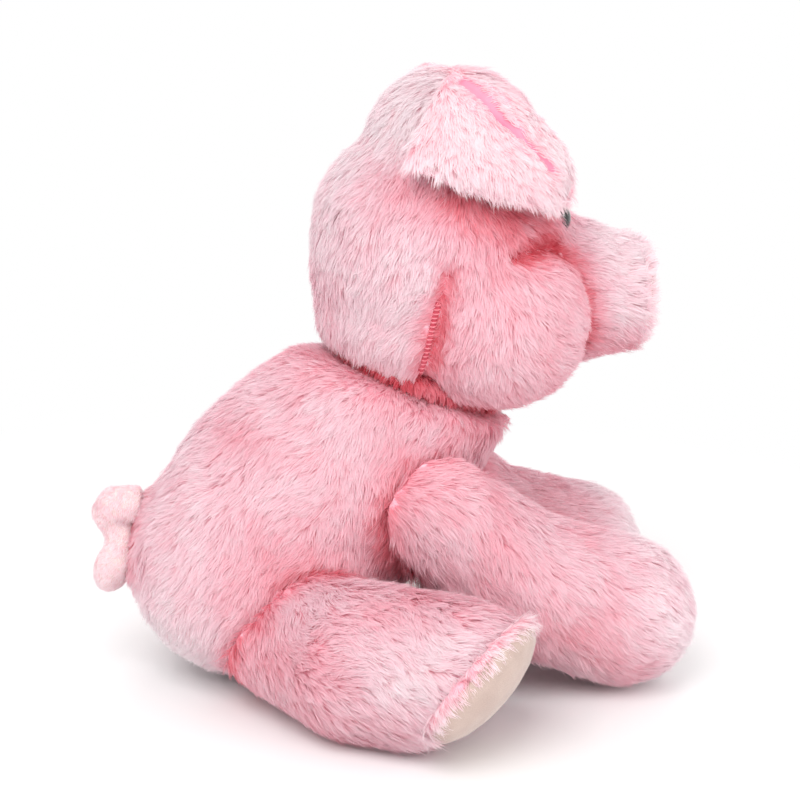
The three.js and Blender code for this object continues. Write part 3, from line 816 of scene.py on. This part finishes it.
def pile_on(
    skin, name, comb, tint, neighbours, shaded_by=None, keep=True, long_at=1, lie_at=0, parting=2
):
    """Tufts of pile on a skin.

    comb, tint, long_at and lie_at give each place its combing, shade, length and how flat it lies, and
    keep tells where pile grows. Tufts get painted shade, a deeper pink, at the seams, in hollows and near
    the skins of shaded_by, and none grow where the seam's value is over parting.
    """
    rng = rng_of(name)
    mesh = skin.data
    corners, weights = sampled(mesh, TUFTS_PER_MM2 * (1), rng)
    place, normal, hollowed, seam = (
        spread(values, corners, weights)
        for values in (points_of(mesh), normals_of(mesh), hollowness(mesh), seam_of(mesh))
    )
    normal = unit(normal)
    near = distances_to(place, neighbours)
    shaded = near if shaded_by is None else distances_to(place, shaded_by)
    aside = -uphill(mesh, seam_of(mesh), corners) * (PARTED * seam)[:, None]
    kept = (near > -BURIED) & (seam < parting) & at(keep, place)
    values = (place, normal, shaded, hollowed, seam, aside)
    place, normal, shaded, hollowed, seam, aside = (value[kept] for value in values)
    count = len(place)
    flow = at(comb, place) + aside
    flow = unit(flow - normal * (flow * normal).sum(axis=1, keepdims=True))
    flow = turned_about(flow, normal, clouds(place, SWIRL_CLOUDS) + rng.normal(0, SCATTER["swirl"], count))
    long = PILE_LENGTH * (1 + clouds(place, LENGTH_CLOUDS) + rng.normal(0, SCATTER["length"], count))
    valley = np.sqrt(seam)
    crease, by_skins = (np.exp(-np.maximum(shaded, 0) / reach) for reach in (CREASE_REACH, SHADE_REACH))
    long = long * (1 - SEAM_SHORT * valley) * (1 - CREASE_SHORT * crease) * at(long_at, place)
    flat = LIE + clouds(place, LIE_CLOUDS) + rng.normal(0, SCATTER["lie"], count)
    flat = np.clip(flat + at(lie_at, place), 0, 1)
    shade = at(tint, place, normal) + clouds(place, SHADE_CLOUDS) + rng.normal(0, SCATTER["shade"], count)
    # Painted shade: deeper pink in creases and near the skins of shaded_by, in hollows and along seams,
    # never below DEEPEST
    shade = shade - CREASE_SHADE * crease - NEAR_SHADE * by_skins
    shade = np.maximum(shade - HOLLOW_SHADE * np.clip(hollowed, 0, 1) - SEAM_SHADE * valley, DEEPEST)
    return strands(name, rng, place, normal, flow, long, flat, shade)


# The pieces


def set_on(body, slot, *pieces):
    """Lets pieces ride their body; the slot is not used."""
    for piece in pieces:
        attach(piece, body)


def dressed(skin, body, nodes, comb, tint, label="pile", slot="pink_plush", fill=FILL, **how):
    """Grows the pile on a stuffed skin, and sets both on their body in place of the CAD nodes."""
    near = [forms[part] for part in near_parts[body]]
    set_on(body, slot, skin, *pile_on(skin, f"{body}_{label}", comb, tint, near, **how))
    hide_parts(*nodes)


def fitted(piece, material, body, slot, *nodes):
    """A piece of one material on its body, in place of the CAD nodes."""
    piece.data.materials.append(materials[material])
    set_on(body, slot, piece)
    if nodes:
        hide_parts(*nodes)


def seam_offset(p):
    """How far behind the head's back seam each place is."""
    return (p - SEAM_POINT) @ SEAM_NORMAL


def head_comb(p):
    """Down the head, ahead on the cheeks, along the snout, and away from the open seam."""
    behind = smooth_step(seam_offset(p), *SEAM_COMB)
    cheek = ahead(p, CHEEK_COMB) * (1 - behind)
    flow = between(behind, (0, -0.25, -1), (0, 0.30, -1)) + np.array((0, -0.9, 0.3)) * cheek[:, None]
    flow = between(ahead(p, SNOUT_COMB), flow, (0, -0.95, -0.3))
    flow = flow + unit(SNOUT_MIDDLE - p) * ahead(p, DISC_COMB)[:, None]
    offset = seam_offset(p) - BEAD_OFFSET
    near = np.exp(-np.abs(offset) / SEAM_PARTED) * (1 - above(p, OPEN_SEAM_END))
    return flow + SEAM_NORMAL * (np.sign(offset) * near * 0.9)[:, None]


def snout_fringe(p):
    """Longer pile round the snout's disc."""
    return 1 + 0.3 * ahead(p, DISC_LONG)


def head_bare(p):
    """Where pile grows on the head: not on the stitched part of the seam, the eyes or the snout's disc."""
    stitched = (p[:, 2] > SEAM_LOW) & (p[:, 2] < SEAM_HIGH) & (p[:, 1] < -0.05)
    keep = ~(stitched & (np.abs(seam_offset(p) - BEAD_OFFSET) < BEAD_BARE))
    for side, name in SIDES:
        keep &= np.linalg.norm(p - eye_front(side, name), axis=1) > EYE_BARE
    return keep & (p[:, 1] > SNOUT_EDGE)


def flattened_ball(name, segments, middle, axis, radius, front, back):
    """A ball squeezed along its axis, with its own depth before and behind the middle."""
    turn = Vector((0, 0, 1)).rotation_difference(axis).to_matrix()
    rows = segments // 2
    points, faces = [], []
    for tilt in np.arange(1, rows) * math.pi / rows:
        high = math.cos(tilt) * (front if tilt < math.pi / 2 else back)
        for angle in np.arange(segments) * 2 * math.pi / segments:
            out = radius * math.sin(tilt)
            points.append((out * math.cos(angle), out * math.sin(angle), high))
    low = len(points) - segments
    top, bottom = len(points), len(points) + 1
    points += [(0, 0, front), (0, 0, -back)]
    for j in range(segments):
        n = (j + 1) % segments
        faces += [(top, j, n), (bottom, low + n, low + j)]
        faces += [(a + j, a + segments + j, a + segments + n, a + n) for a in range(0, low, segments)]
    mesh = bpy.data.meshes.new(name)
    mesh.from_pydata([turn @ Vector(point) + middle for point in points], [], faces)
    shade_smooth(mesh)
    return new_object(name, mesh)


def make_collar():
    """A roll of cloth inside the neck seam, which fills it as the head nods."""
    centre, axis = Vector(NECK_CENTRE), Vector(NECK_AXIS)
    return flattened_ball("neck_roll", 48, centre, axis, ROLL_RADIUS, ROLL_HALF, ROLL_HALF)


def smooth_solid(name, node, voxel, rounds):
    """A CAD form remeshed finely and smoothed, for velour and satin pieces."""
    made = applied(remeshed(joined_copy(name, (node,)), voxel, rounds), ("SUBSURF", {"levels": 1}))
    shade_smooth(made.data)
    return made


def eye_front(side, name):
    """The foremost point of an eye."""
    low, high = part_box(f"eye_{name}")
    return np.array((side * EYE_OUTWARD, low[1], EYE_HEIGHT))


def make_eye(side, name):
    """A domed button where the frame has it."""
    gaze = Vector((0, -1, 0))
    gaze.rotate(Euler((-EYE_UP, 0, 0)))
    gaze.rotate(Euler((0, 0, side * EYE_OUT)))
    seat = Vector(eye_front(side, name)) - gaze * EYE_DOME
    return flattened_ball(f"eye_button_{name}", 32, seat, gaze, EYE_RADIUS, EYE_DOME, EYE_BACK)


def tube(name, paths, radius, sides=6, helper=(0.31, 0.57, 0.76)):
    """Round threads along these paths, as one mesh. No path runs the way of the helper."""
    points, faces = [], []
    for path in paths:
        path = np.array(path)
        tangents = unit(np.gradient(path, axis=0))
        first = unit(np.cross(tangents, helper))
        second = np.cross(tangents, first)
        start = len(points)
        last = start + (len(path) - 1) * sides
        for i, centre in enumerate(path):
            thick = radius * (TUBE_END if i in (0, len(path) - 1) else 1)
            for angle in np.arange(sides) * 2 * math.pi / sides:
                points.append(centre + (first[i] * math.cos(angle) + second[i] * math.sin(angle)) * thick)
        for a in range(start, last, sides):
            for j in range(sides):
                n = (j + 1) % sides
                faces.append((a + j, a + n, a + sides + n, a + sides + j))
        faces.append(range(start + sides - 1, start - 1, -1))
        faces.append(range(last, last + sides))
    mesh = bpy.data.meshes.new(name)
    mesh.from_pydata([tuple(p) for p in points], [], [tuple(face) for face in faces])
    shade_smooth(mesh)
    return new_object(name, mesh)


def seam_line(head, side):
    """Points down the open part of the head's seam, with the way out of the skin at each."""
    tree = tree_of(head)
    centres, outs = [], []
    for z in np.arange(SEAM_LOW, SEAM_HIGH, STITCH_PITCH / 2):
        y = SEAM_POINT[1] - (z - SEAM_POINT[2]) * math.tan(SEAM_TILT) + BEAD_OFFSET
        hit, normal, _, _ = tree.ray_cast(Vector((side, y, z)), Vector((-side, 0, 0)))
        if hit is not None:
            centres.append(np.array(hit))
            outs.append(np.array(normal))
    outs = unit(np.array(outs))
    return np.array(centres) - outs * BEAD_SINK, outs


def make_seam_bead(head, side, name):
    """The turned edge of the cloth along the open part of the head's seam."""
    centres, _ = seam_line(head, side)
    return tube(f"seam_bead_{name}", [centres], BEAD_RADIUS, 12)


def make_seam_stitches(head, side, name):
    """Overlock thread wound over the bead of the head's seam."""
    centres, outs = seam_line(head, side)
    along = unit(np.gradient(centres, axis=0))
    aside = np.cross(along, outs)
    last = len(centres) - 1
    steps = np.linspace(0, last, int(last / 2 * TURN_STEPS))
    angle = (steps * math.pi)[:, None]

    def at_steps(values):
        return np.stack([np.interp(steps, np.arange(len(values)), column) for column in values.T], axis=1)

    wound = at_steps(outs) * np.cos(angle) + at_steps(aside) * np.sin(angle)
    return tube(f"seam_stitches_{name}", [at_steps(centres) + wound * BEAD_RADIUS], THREAD_RADIUS)


def plane_of(node, inwards):
    """A flat round piece: its points from its middle, the middle, and its three ways, the last inwards."""
    points = points_of(cad[node].data)
    middle = (points.min(axis=0) + points.max(axis=0)) / 2
    first, second, normal = np.linalg.svd(points - middle, full_matrices=False)[2]
    return points - middle, middle, first, second, normal * np.sign(normal @ inwards)


def piped(node, inwards, name, body):
    """A roll of the skin's cloth under the rim of a flat round piece, and the pile that hangs over it."""
    flat, middle, first, second, normal = plane_of(node, inwards)
    wide, tall = np.abs(flat @ first).max(), np.abs(flat @ second).max()
    radius = np.hypot(flat @ first / wide, flat @ second / tall)
    rim = (flat[radius > RIM_SHARE] @ normal).mean()
    wide, tall = wide - PIPING_IN, tall - PIPING_IN
    angle = np.linspace(0, 2 * math.pi, PIPING_POINTS)[:, None]
    ring = first * np.cos(angle) * wide + second * np.sin(angle) * tall
    path = middle + ring + normal * (rim + PIPING_RADIUS)
    roll = tube(name, [path], PIPING_RADIUS, PIPING_SIDES, normal)

    def beyond(p):
        return np.hypot((p - middle) @ first / wide, (p - middle) @ second / tall) > 1

    def over_rim(p):
        out = p - middle
        out = unit(out - (out @ normal)[:, None] * normal)
        return -normal - FRINGE_INWARDS * out

    fitted(roll, "backing", body, "pink_plush")
    fringe = pile_on(roll, f"{name}_pile", over_rim, FRINGE_SHADE, [], [], beyond, FRINGE_PILE)
    set_on(body, "pink_plush", *fringe)


def make_nostril(name):
    """Satin stitches side by side, following the CAD patch."""
    low, high = (np.array(corner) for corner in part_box(f"nostril_{name}"))
    centre, half = (low + high) / 2, (high - low) / 2
    tree = tree_of(cad[f"nostril_{name}"])
    paths = []
    for x in np.linspace(-0.9, 0.9, 11):
        tall = half[2] * math.sqrt(1 - x * x * 0.9)
        path = []
        for t in np.linspace(-1, 1, 9):
            spot = Vector((centre[0] + x * half[0], low[1] - 0.05, centre[2] + t * tall))
            hit = tree.ray_cast(spot, Vector((0, 1, 0)))[0]
            if hit is not None:
                path.append(np.array(hit) - (0, STITCH_LIFT * (1 - t * t), 0))
        if len(path) > 3:
            paths.append(path)
    return tube(f"nostril_thread_{name}", paths, THREAD_RADIUS)


# Building

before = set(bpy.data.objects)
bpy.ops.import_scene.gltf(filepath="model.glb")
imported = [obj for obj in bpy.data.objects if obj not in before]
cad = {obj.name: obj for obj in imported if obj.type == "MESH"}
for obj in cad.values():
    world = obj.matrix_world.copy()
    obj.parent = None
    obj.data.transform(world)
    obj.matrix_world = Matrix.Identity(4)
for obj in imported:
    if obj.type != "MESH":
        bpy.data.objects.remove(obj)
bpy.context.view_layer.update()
materials = {
    "pile": pile_material(),
    "backing": backing_material("plush_backing", srgb(245, 186, 200), srgb(250, 206, 217)),
    # Painted shade: this cloth's deep coral stands for the shade in the neck's crease and along the head's
    # seam
    "seam_shade_cloth": backing_material("seam_shade_cloth", srgb(190, 72, 88), srgb(212, 100, 114)),
    # Painted shade: the cream velour is darker than the cloth's own cream, as the soles face down into
    # shade; the snout's disc shares it
    "cream": velour_material("cream_velour", (0.58, 0.44, 0.39), (0.66, 0.52, 0.46)),
    "tail": velour_material("tail_velour", (0.86, 0.68, 0.66), (0.92, 0.79, 0.77)),
    "satin": satin_material(),
    "thread": thread_material(),
    "button": button_material(),
    "moulded": moulded_material(),
}

skins = {
    "torso": full_form("torso_backing", (*TORSO_NODES, "neck_filling")),
    "head": full_form("head_backing", (*HEAD_NODES, "snout_disc", "eye_left", "eye_right")),
}
near_parts = {
    "torso": ("head", *(f"{leg}_{name}" for leg in LEGS for _, name in SIDES), "tail"),
    "head": ("torso", "ear_left", "ear_right"),
    "neck": (),
    "tail": ("torso",),
}
for _, name in SIDES:
    front, hind, ear = f"front_leg_{name}", f"hind_leg_{name}", f"ear_{name}"
    skins[front] = full_form(f"{front}_backing", (f"{front}_skin", f"{front}_filling"))
    skins[hind] = full_form(f"{hind}_backing", (f"{hind}_skin", f"{hind}_filling", f"sole_{name}"))
    skins[ear] = full_form(f"{ear}_backing", (ear,), EAR_VOXEL, 2)
    near_parts.update({front: ("torso", hind), hind: ("torso", front), ear: ("head",)})
forms = {part: tree_of(skin) for part, skin in skins.items()}
forms["tail"] = tree_of(cad["tail"])
soles = {name: tree_of(cad[f"sole_{name}"]) for _, name in SIDES}


def head_seams(p):
    """The seams round the cheeks, and the head's back seam as far as the fur closes over it."""
    seam = np.zeros(len(p))
    rest = [tree_of(cad[node]) for node in HEAD_NODES if node.endswith(("panel", "sleeve"))]
    for _, name in SIDES:
        seam = np.maximum(seam, meeting(p, [tree_of(cad[f"cheek_{name}"])], rest))
    low = (1 - above(p, SEAM_END)) * smooth_step(np.abs(p[:, 0]), *SEAM_SIDE)
    seam = np.maximum(seam, np.exp(-((seam_offset(p) / SEAM_REACH) ** 2)) * low)
    return seam * smooth_step((p - NECK_CENTRE) @ NECK_AXIS, *NECK_SEAM_END)


def ear_fold(p, wide=1):
    """How near each place is to the fold in its ear, 1 in the middle of the fold."""
    mirrored = np.stack((np.abs(p[:, 0]), p[:, 1], p[:, 2]), axis=1)
    points = np.array(EAR_FOLD)
    found = np.zeros(len(p))
    for k, (start, end) in enumerate(zip(points, points[1:])):
        way = end - start
        share = np.clip((mirrored - start) @ way / (way @ way), 0, 1)
        gap = np.linalg.norm(mirrored - start - share[:, None] * way, axis=1)
        reach = FOLD_REACH * wide * (1 - FOLD_TAPER * (k + share) / (len(points) - 1))
        found = np.maximum(found, np.exp(-((gap / reach) ** 2)))
    return found


for part, skin in skins.items():
    near = [forms[other] for other in near_parts[part]]
    if part.startswith("ear"):
        # The fold works as the ear's seam: tucked in, bare of pile, and with painted shade on the pile
        # beside it
        backing_of(skin, near, EAR_PILE_DEPTH, ear_fold, FOLD_TUCK)
        skin.data.materials.append(materials["satin"])
        folded = seam_at_faces(skin.data) > FOLD_BARE / 2
        skin.data.polygons.foreach_set("material_index", folded.astype(np.int32))
    else:
        backing_of(skin, near, seams=head_seams if part == "head" else None)
torso, head = skins["torso"], skins["head"]
ears = [forms[f"ear_{name}"] for _, name in SIDES]


def torso_tint(p, n):
    top = above(p, TORSO_TOP)
    low = 1 - above(p, RUMP)
    rear = smooth_step(p[:, 1], *TORSO_REAR)
    # Painted light: paler where the pile faces up; also paler near the top, on the low rump and at the rear
    return SHADES["torso"] + 0.06 * n[:, 2] + 0.04 * top + 0.30 * low + 0.10 * rear


def torso_comb(p):
    """Back and down, outwards at the rim of the neck, and straight down the chest."""
    rise = (p - NECK_CENTRE) @ NECK_AXIS
    out = unit(p - NECK_CENTRE - rise[:, None] * NECK_AXIS) - 0.5 * NECK_AXIS
    flow = between(smooth_step(rise, *RIM_COMB), (0, 0.6, -0.8), out)
    return between(ahead(p, CHEST_COMB), flow, (0, 0.3, -1))


def torso_length(p):
    """Shorter pile round the neck and on the chest under it, longer where it hangs by the legs."""
    rise = (p - NECK_CENTRE) @ NECK_AXIS
    hanging = 1
    for leg in LEGS:
        hanging = hanging * nearness(p, [forms[f"{leg}_{name}"] for _, name in SIDES], HOLLOW_REACH)
    return (1 - 0.4 * smooth_step(rise, *RIM_SHORT)) * (1 + 0.8 * hanging)


def head_tint(p, n):
    """Paler on the snout; painted light on the crown, the back and where the pile faces up; painted shade,
    deep pink, under the ears and on the underside of the snout.
    """
    snout = ahead(p, SNOUT_PALE)
    crown = above(p, CROWN_PALE)
    behind = smooth_step(seam_offset(p), *BEHIND_SEAM)
    under = nearness(p, ears, UNDER_EAR_REACH)
    under = under * (1 - above(p, UNDER_EAR)) * (1 - 0.6 * snout)
    low = 1 - above(p, SNOUT_LOW)
    pale = 0.25 * snout * (1 - 1.5 * low) + 0.19 * behind * (1 - under) + 0.13 * crown
    return SHADES["head"] + 0.05 * n[:, 2] + pale - 0.85 * under


def front_leg_tint(p, n):
    # Painted light: paler where the pile faces up; paler on the paw
    return SHADES["front_leg"] + 0.05 * n[:, 2] + 0.30 * ahead(p, PAW_PALE)


def hind_leg_tint(p, n):
    # Painted light: paler where the pile faces up; paler further out from the middle
    return SHADES["hind_leg"] + 0.06 * n[:, 2] + 0.18 * smooth_step(np.abs(p[:, 0]), *TOE_PALE)


def front_leg_comb(p):
    """Ahead over the shoulder, down the upper leg, and ahead along the paw."""
    flow = between(above(p, SHOULDER_COMB), (0, -0.3, -0.95), (0, -0.9, -0.3))
    return between(ahead(p, PAW_COMB), flow, (0, -0.85, -0.5))


dressed(torso, "torso", TORSO_NODES, torso_comb, torso_tint, long_at=torso_length)
dressed(
    head,
    "head",
    HEAD_NODES,
    head_comb,
    head_tint,
    shaded_by=[forms["torso"]],
    keep=head_bare,
    long_at=snout_fringe,
    lie_at=lambda p: CROWN_LIE * above(p, CROWN_COMB),
)

roll = make_collar()
# Painted shade: the roll's deep coral cloth and pile stand for the shade in the neck's crease
roll.data.materials.append(materials["seam_shade_cloth"])
dressed(
    roll,
    "neck",
    ("neck_filling",),
    lambda p: p - NECK_CENTRE - 0.5 * NECK_AXIS,
    ROLL_SHADE,
    shaded_by=[],
    keep=lambda p: np.linalg.norm(p - NECK_CENTRE, axis=1) > ROLL_BARE,
    long_at=ROLL_PILE,
)

for side, name in SIDES:
    front, hind = f"front_leg_{name}", f"hind_leg_{name}"

    def over_hollow(p, behind=forms[hind]):
        """Longer pile where the front leg hangs over the hind one."""
        return 1 + 1.3 * nearness(p, [behind], HOLLOW_REACH)

    nodes = (f"{front}_skin", f"{front}_filling")
    dressed(skins[front], front, nodes, front_leg_comb, front_leg_tint, long_at=over_hollow)

    sole_middle = np.array(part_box(f"sole_{name}")).mean(axis=0)
    hip = np.array(HIP) * (side, 1, 1)

    def hind_leg_comb(p, middle=sole_middle, hip=hip):
        """Along the leg, down at its back, and a little towards the middle of the sole."""
        along = unit(middle - hip)
        rear = 1 - smooth_step((p - hip) @ along, *HIP_COMB)
        down = np.array((0, 0, -1)) * (0.35 + 0.7 * rear)[:, None]
        return along + 0.3 * unit(middle - p) + down

    def off_sole(p, name=name, way=-plane_of(f"sole_{name}", hip - sole_middle)[-1]):
        """Off the sole and not hidden behind it."""
        behind = [soles[name].ray_cast(Vector(spot), Vector(way), SOLE_HIDES)[0] is not None for spot in p]
        return (distances_to(p, [soles[name]]) > SOLE_BARE) & ~np.array(behind)

    def by_sole(p, name=name):
        """How near each place is to the sole, 1 at its edge."""
        return nearness(p, [soles[name]], FRINGE_REACH)

    def hind_leg_length(p, by_sole=by_sole, leg=forms[front]):
        """Longer pile along the edge of the sole and by the front leg."""
        return (1 + 0.9 * by_sole(p)) * (1 + 0.8 * nearness(p, [leg], HOLLOW_REACH))

    dressed(
        skins[hind],
        hind,
        (f"{hind}_skin", f"{hind}_filling"),
        hind_leg_comb,
        hind_leg_tint,
        keep=off_sole,
        long_at=hind_leg_length,
        lie_at=lambda p, by_sole=by_sole: HIND_LEG_LIE + 0.1 * by_sole(p),
    )

    fan = np.array(EAR_FAN) * (side, 1, 1)
    fold = (np.array(EAR_FOLD[-1]) - EAR_FOLD[0]) * (side, 1, 1)

    def ear_comb(p, fan=fan, fold=fold):
        """Out from the fan's middle, along the fold beside it, and back over the crown behind."""
        behind = smooth_step(p[:, 1] - EAR_REAR * p[:, 2], *EAR_REAR_BAND)
        out = unit(p - fan) + between(behind, (0, -0.2, -0.2), (0, 0.9, -0.1))
        return between(ear_fold(p, 3), out, unit(fold))

    def ear_length(p):
        """Short pile, shortest by the fold, and a longer fringe at the lower edge."""
        edge = 1 - smooth_step(p[:, 2] - EAR_LOW * p[:, 1], *EAR_LOW_BAND)
        rear = smooth_step(p[:, 1] - EAR_REAR * p[:, 2], *EAR_REAR_BAND)
        return (0.62 + 0.45 * edge + 0.4 * rear) * (1 - 0.45 * ear_fold(p, 2))

    ear = f"ear_{name}"
    dressed(
        skins[ear],
        ear,
        (ear,),
        ear_comb,
        # Painted light: the ear's pile is paler where it faces up
        lambda p, n: SHADES["ear"] + 0.04 * n[:, 2],
        slot="pale_plush",
        fill=EAR_FILL,
        shaded_by=[],
        long_at=ear_length,
        lie_at=EAR_LIE,
        parting=FOLD_BARE,
    )

    lining = smooth_solid(f"ear_satin_{name}", f"ear_lining_{name}", FINE_VOXEL, 3)
    fitted(lining, "satin", ear, "pink_satin", f"ear_lining_{name}")

    piped(f"sole_{name}", hip - sole_middle, f"sole_piping_{name}", hind)
    pad = smooth_solid(f"sole_pad_{name}", f"sole_{name}", SOLE_VOXEL, 4)
    fitted(pad, "cream", hind, "cream_velour", f"sole_{name}")

    fitted(make_eye(side, name), "button", "head", "black_plastic", f"eye_{name}")
    # Painted shade: the bead's deep coral cloth stands for the shade in the seam
    fitted(make_seam_bead(head, side, name), "seam_shade_cloth", "head", "pink_plush")
    fitted(make_seam_stitches(head, side, name), "thread", "head", "pink_thread")
    fitted(make_nostril(name), "thread", "head", "pink_thread", f"nostril_{name}")

    washer = cad[f"eye_washer_{name}"]
    washer.data.materials.clear()
    washer.data.materials.append(materials["moulded"])

piped("snout_disc", (0, 1, 0), "snout_piping", "head")
disc = smooth_solid("snout_velour", "snout_disc", FINE_VOXEL, 2)
fitted(disc, "cream", "head", "cream_velour", "snout_disc")

curl = smooth_solid("tail_curl", "tail", TAIL_VOXEL, 6)
swollen(curl.data, TAIL_SWELL, TAIL_FILL)
curl.data.materials.append(materials["tail"])
nap = {"label": "nap", "slot": "cream_velour", "shaded_by": [], "long_at": TAIL_NAP}
dressed(curl, "tail", ("tail",), TAIL_COMB, TAIL_SHADE, **nap)


# Floor, light and camera


def seen_directly(nodes):
    """1 for what the camera sees itself, in a reflection or through glass."""
    rays = nodes.add("ShaderNodeLightPath").outputs
    seen = rays["Is Camera Ray"]
    for name in ("Is Glossy Ray", "Is Transmission Ray"):
        seen = nodes.add("ShaderNodeMath", {0: seen, 1: rays[name]}, operation="MAXIMUM").outputs[0]
    return seen


def make_floor():
    """White paper that keeps the pig's shadow and fades into the white around it."""
    nodes = new_material("paper")
    place = nodes.add("ShaderNodeTexCoord").outputs["Object"]
    far = nodes.add("ShaderNodeVectorMath", {0: place}, operation="LENGTH").outputs["Value"]
    band = {"Value": far, "From Min": FLOOR_FADE[0], "From Max": FLOOR_FADE[1]}
    fade = nodes.add("ShaderNodeMapRange", band).outputs["Result"]
    seen = nodes.add("ShaderNodeMath", {0: seen_directly(nodes), 1: fade}, operation="MULTIPLY").outputs[0]
    paper = nodes.add("ShaderNodeBsdfDiffuse", {0: (PAPER, PAPER, PAPER, 1)})
    white = nodes.add("ShaderNodeEmission", {0: (1, 1, 1, 1)})
    mesh = bpy.data.meshes.new("floor")
    corners = [(x * FLOOR_REACH, y * FLOOR_REACH, 0) for x, y in ((-1, -1), (1, -1), (1, 1), (-1, 1))]
    mesh.from_pydata(corners, [], [(0, 1, 2, 3)])
    mesh.materials.append(nodes.finish(nodes.blended(seen, paper, white)))
    new_object("floor", mesh)


def make_world():
    """Soft light from all round, and white where it is seen."""
    nodes = Nodes(bpy.data.worlds.new("studio"), "ShaderNodeOutputWorld")
    lit = nodes.add("ShaderNodeBackground", {0: WORLD_COLOUR, 1: WORLD_LIGHT})
    shown = nodes.add("ShaderNodeBackground", {0: (1, 1, 1, 1)})
    bpy.context.scene.world = nodes.finish(nodes.blended(seen_directly(nodes), lit, shown))


def aimed(name, data, place, target):
    """A lamp or a camera at its place, turned to its target."""
    made = new_object(name, data)
    made.location = place
    made.rotation_euler = (Vector(target) - Vector(place)).to_track_quat("-Z", "Y").to_euler()
    return made


def make_lamp(name, place, size, power):
    light = bpy.data.lights.new(name, "AREA")
    light.shape = "SQUARE"
    light.size = size
    light.energy = power
    aimed(name, light, place, LAMP_TARGET)


def make_camera():
    azimuth, elevation = math.radians(CAMERA_AZIMUTH), math.radians(CAMERA_ELEVATION)
    across, up = math.cos(elevation), math.sin(elevation)
    back = Vector((math.sin(azimuth) * across, -math.cos(azimuth) * across, up))
    data = bpy.data.cameras.new("camera")
    data.lens = CAMERA_LENS
    data.sensor_width = SENSOR
    place = Vector(CAMERA_TARGET) + back * CAMERA_DISTANCE
    bpy.context.scene.camera = aimed("camera", data, place, CAMERA_TARGET)


make_floor()
make_world()
for name, values in LAMPS.items():
    make_lamp(name, *values)
make_camera()
bpy.context.scene.view_settings.view_transform = "Standard"
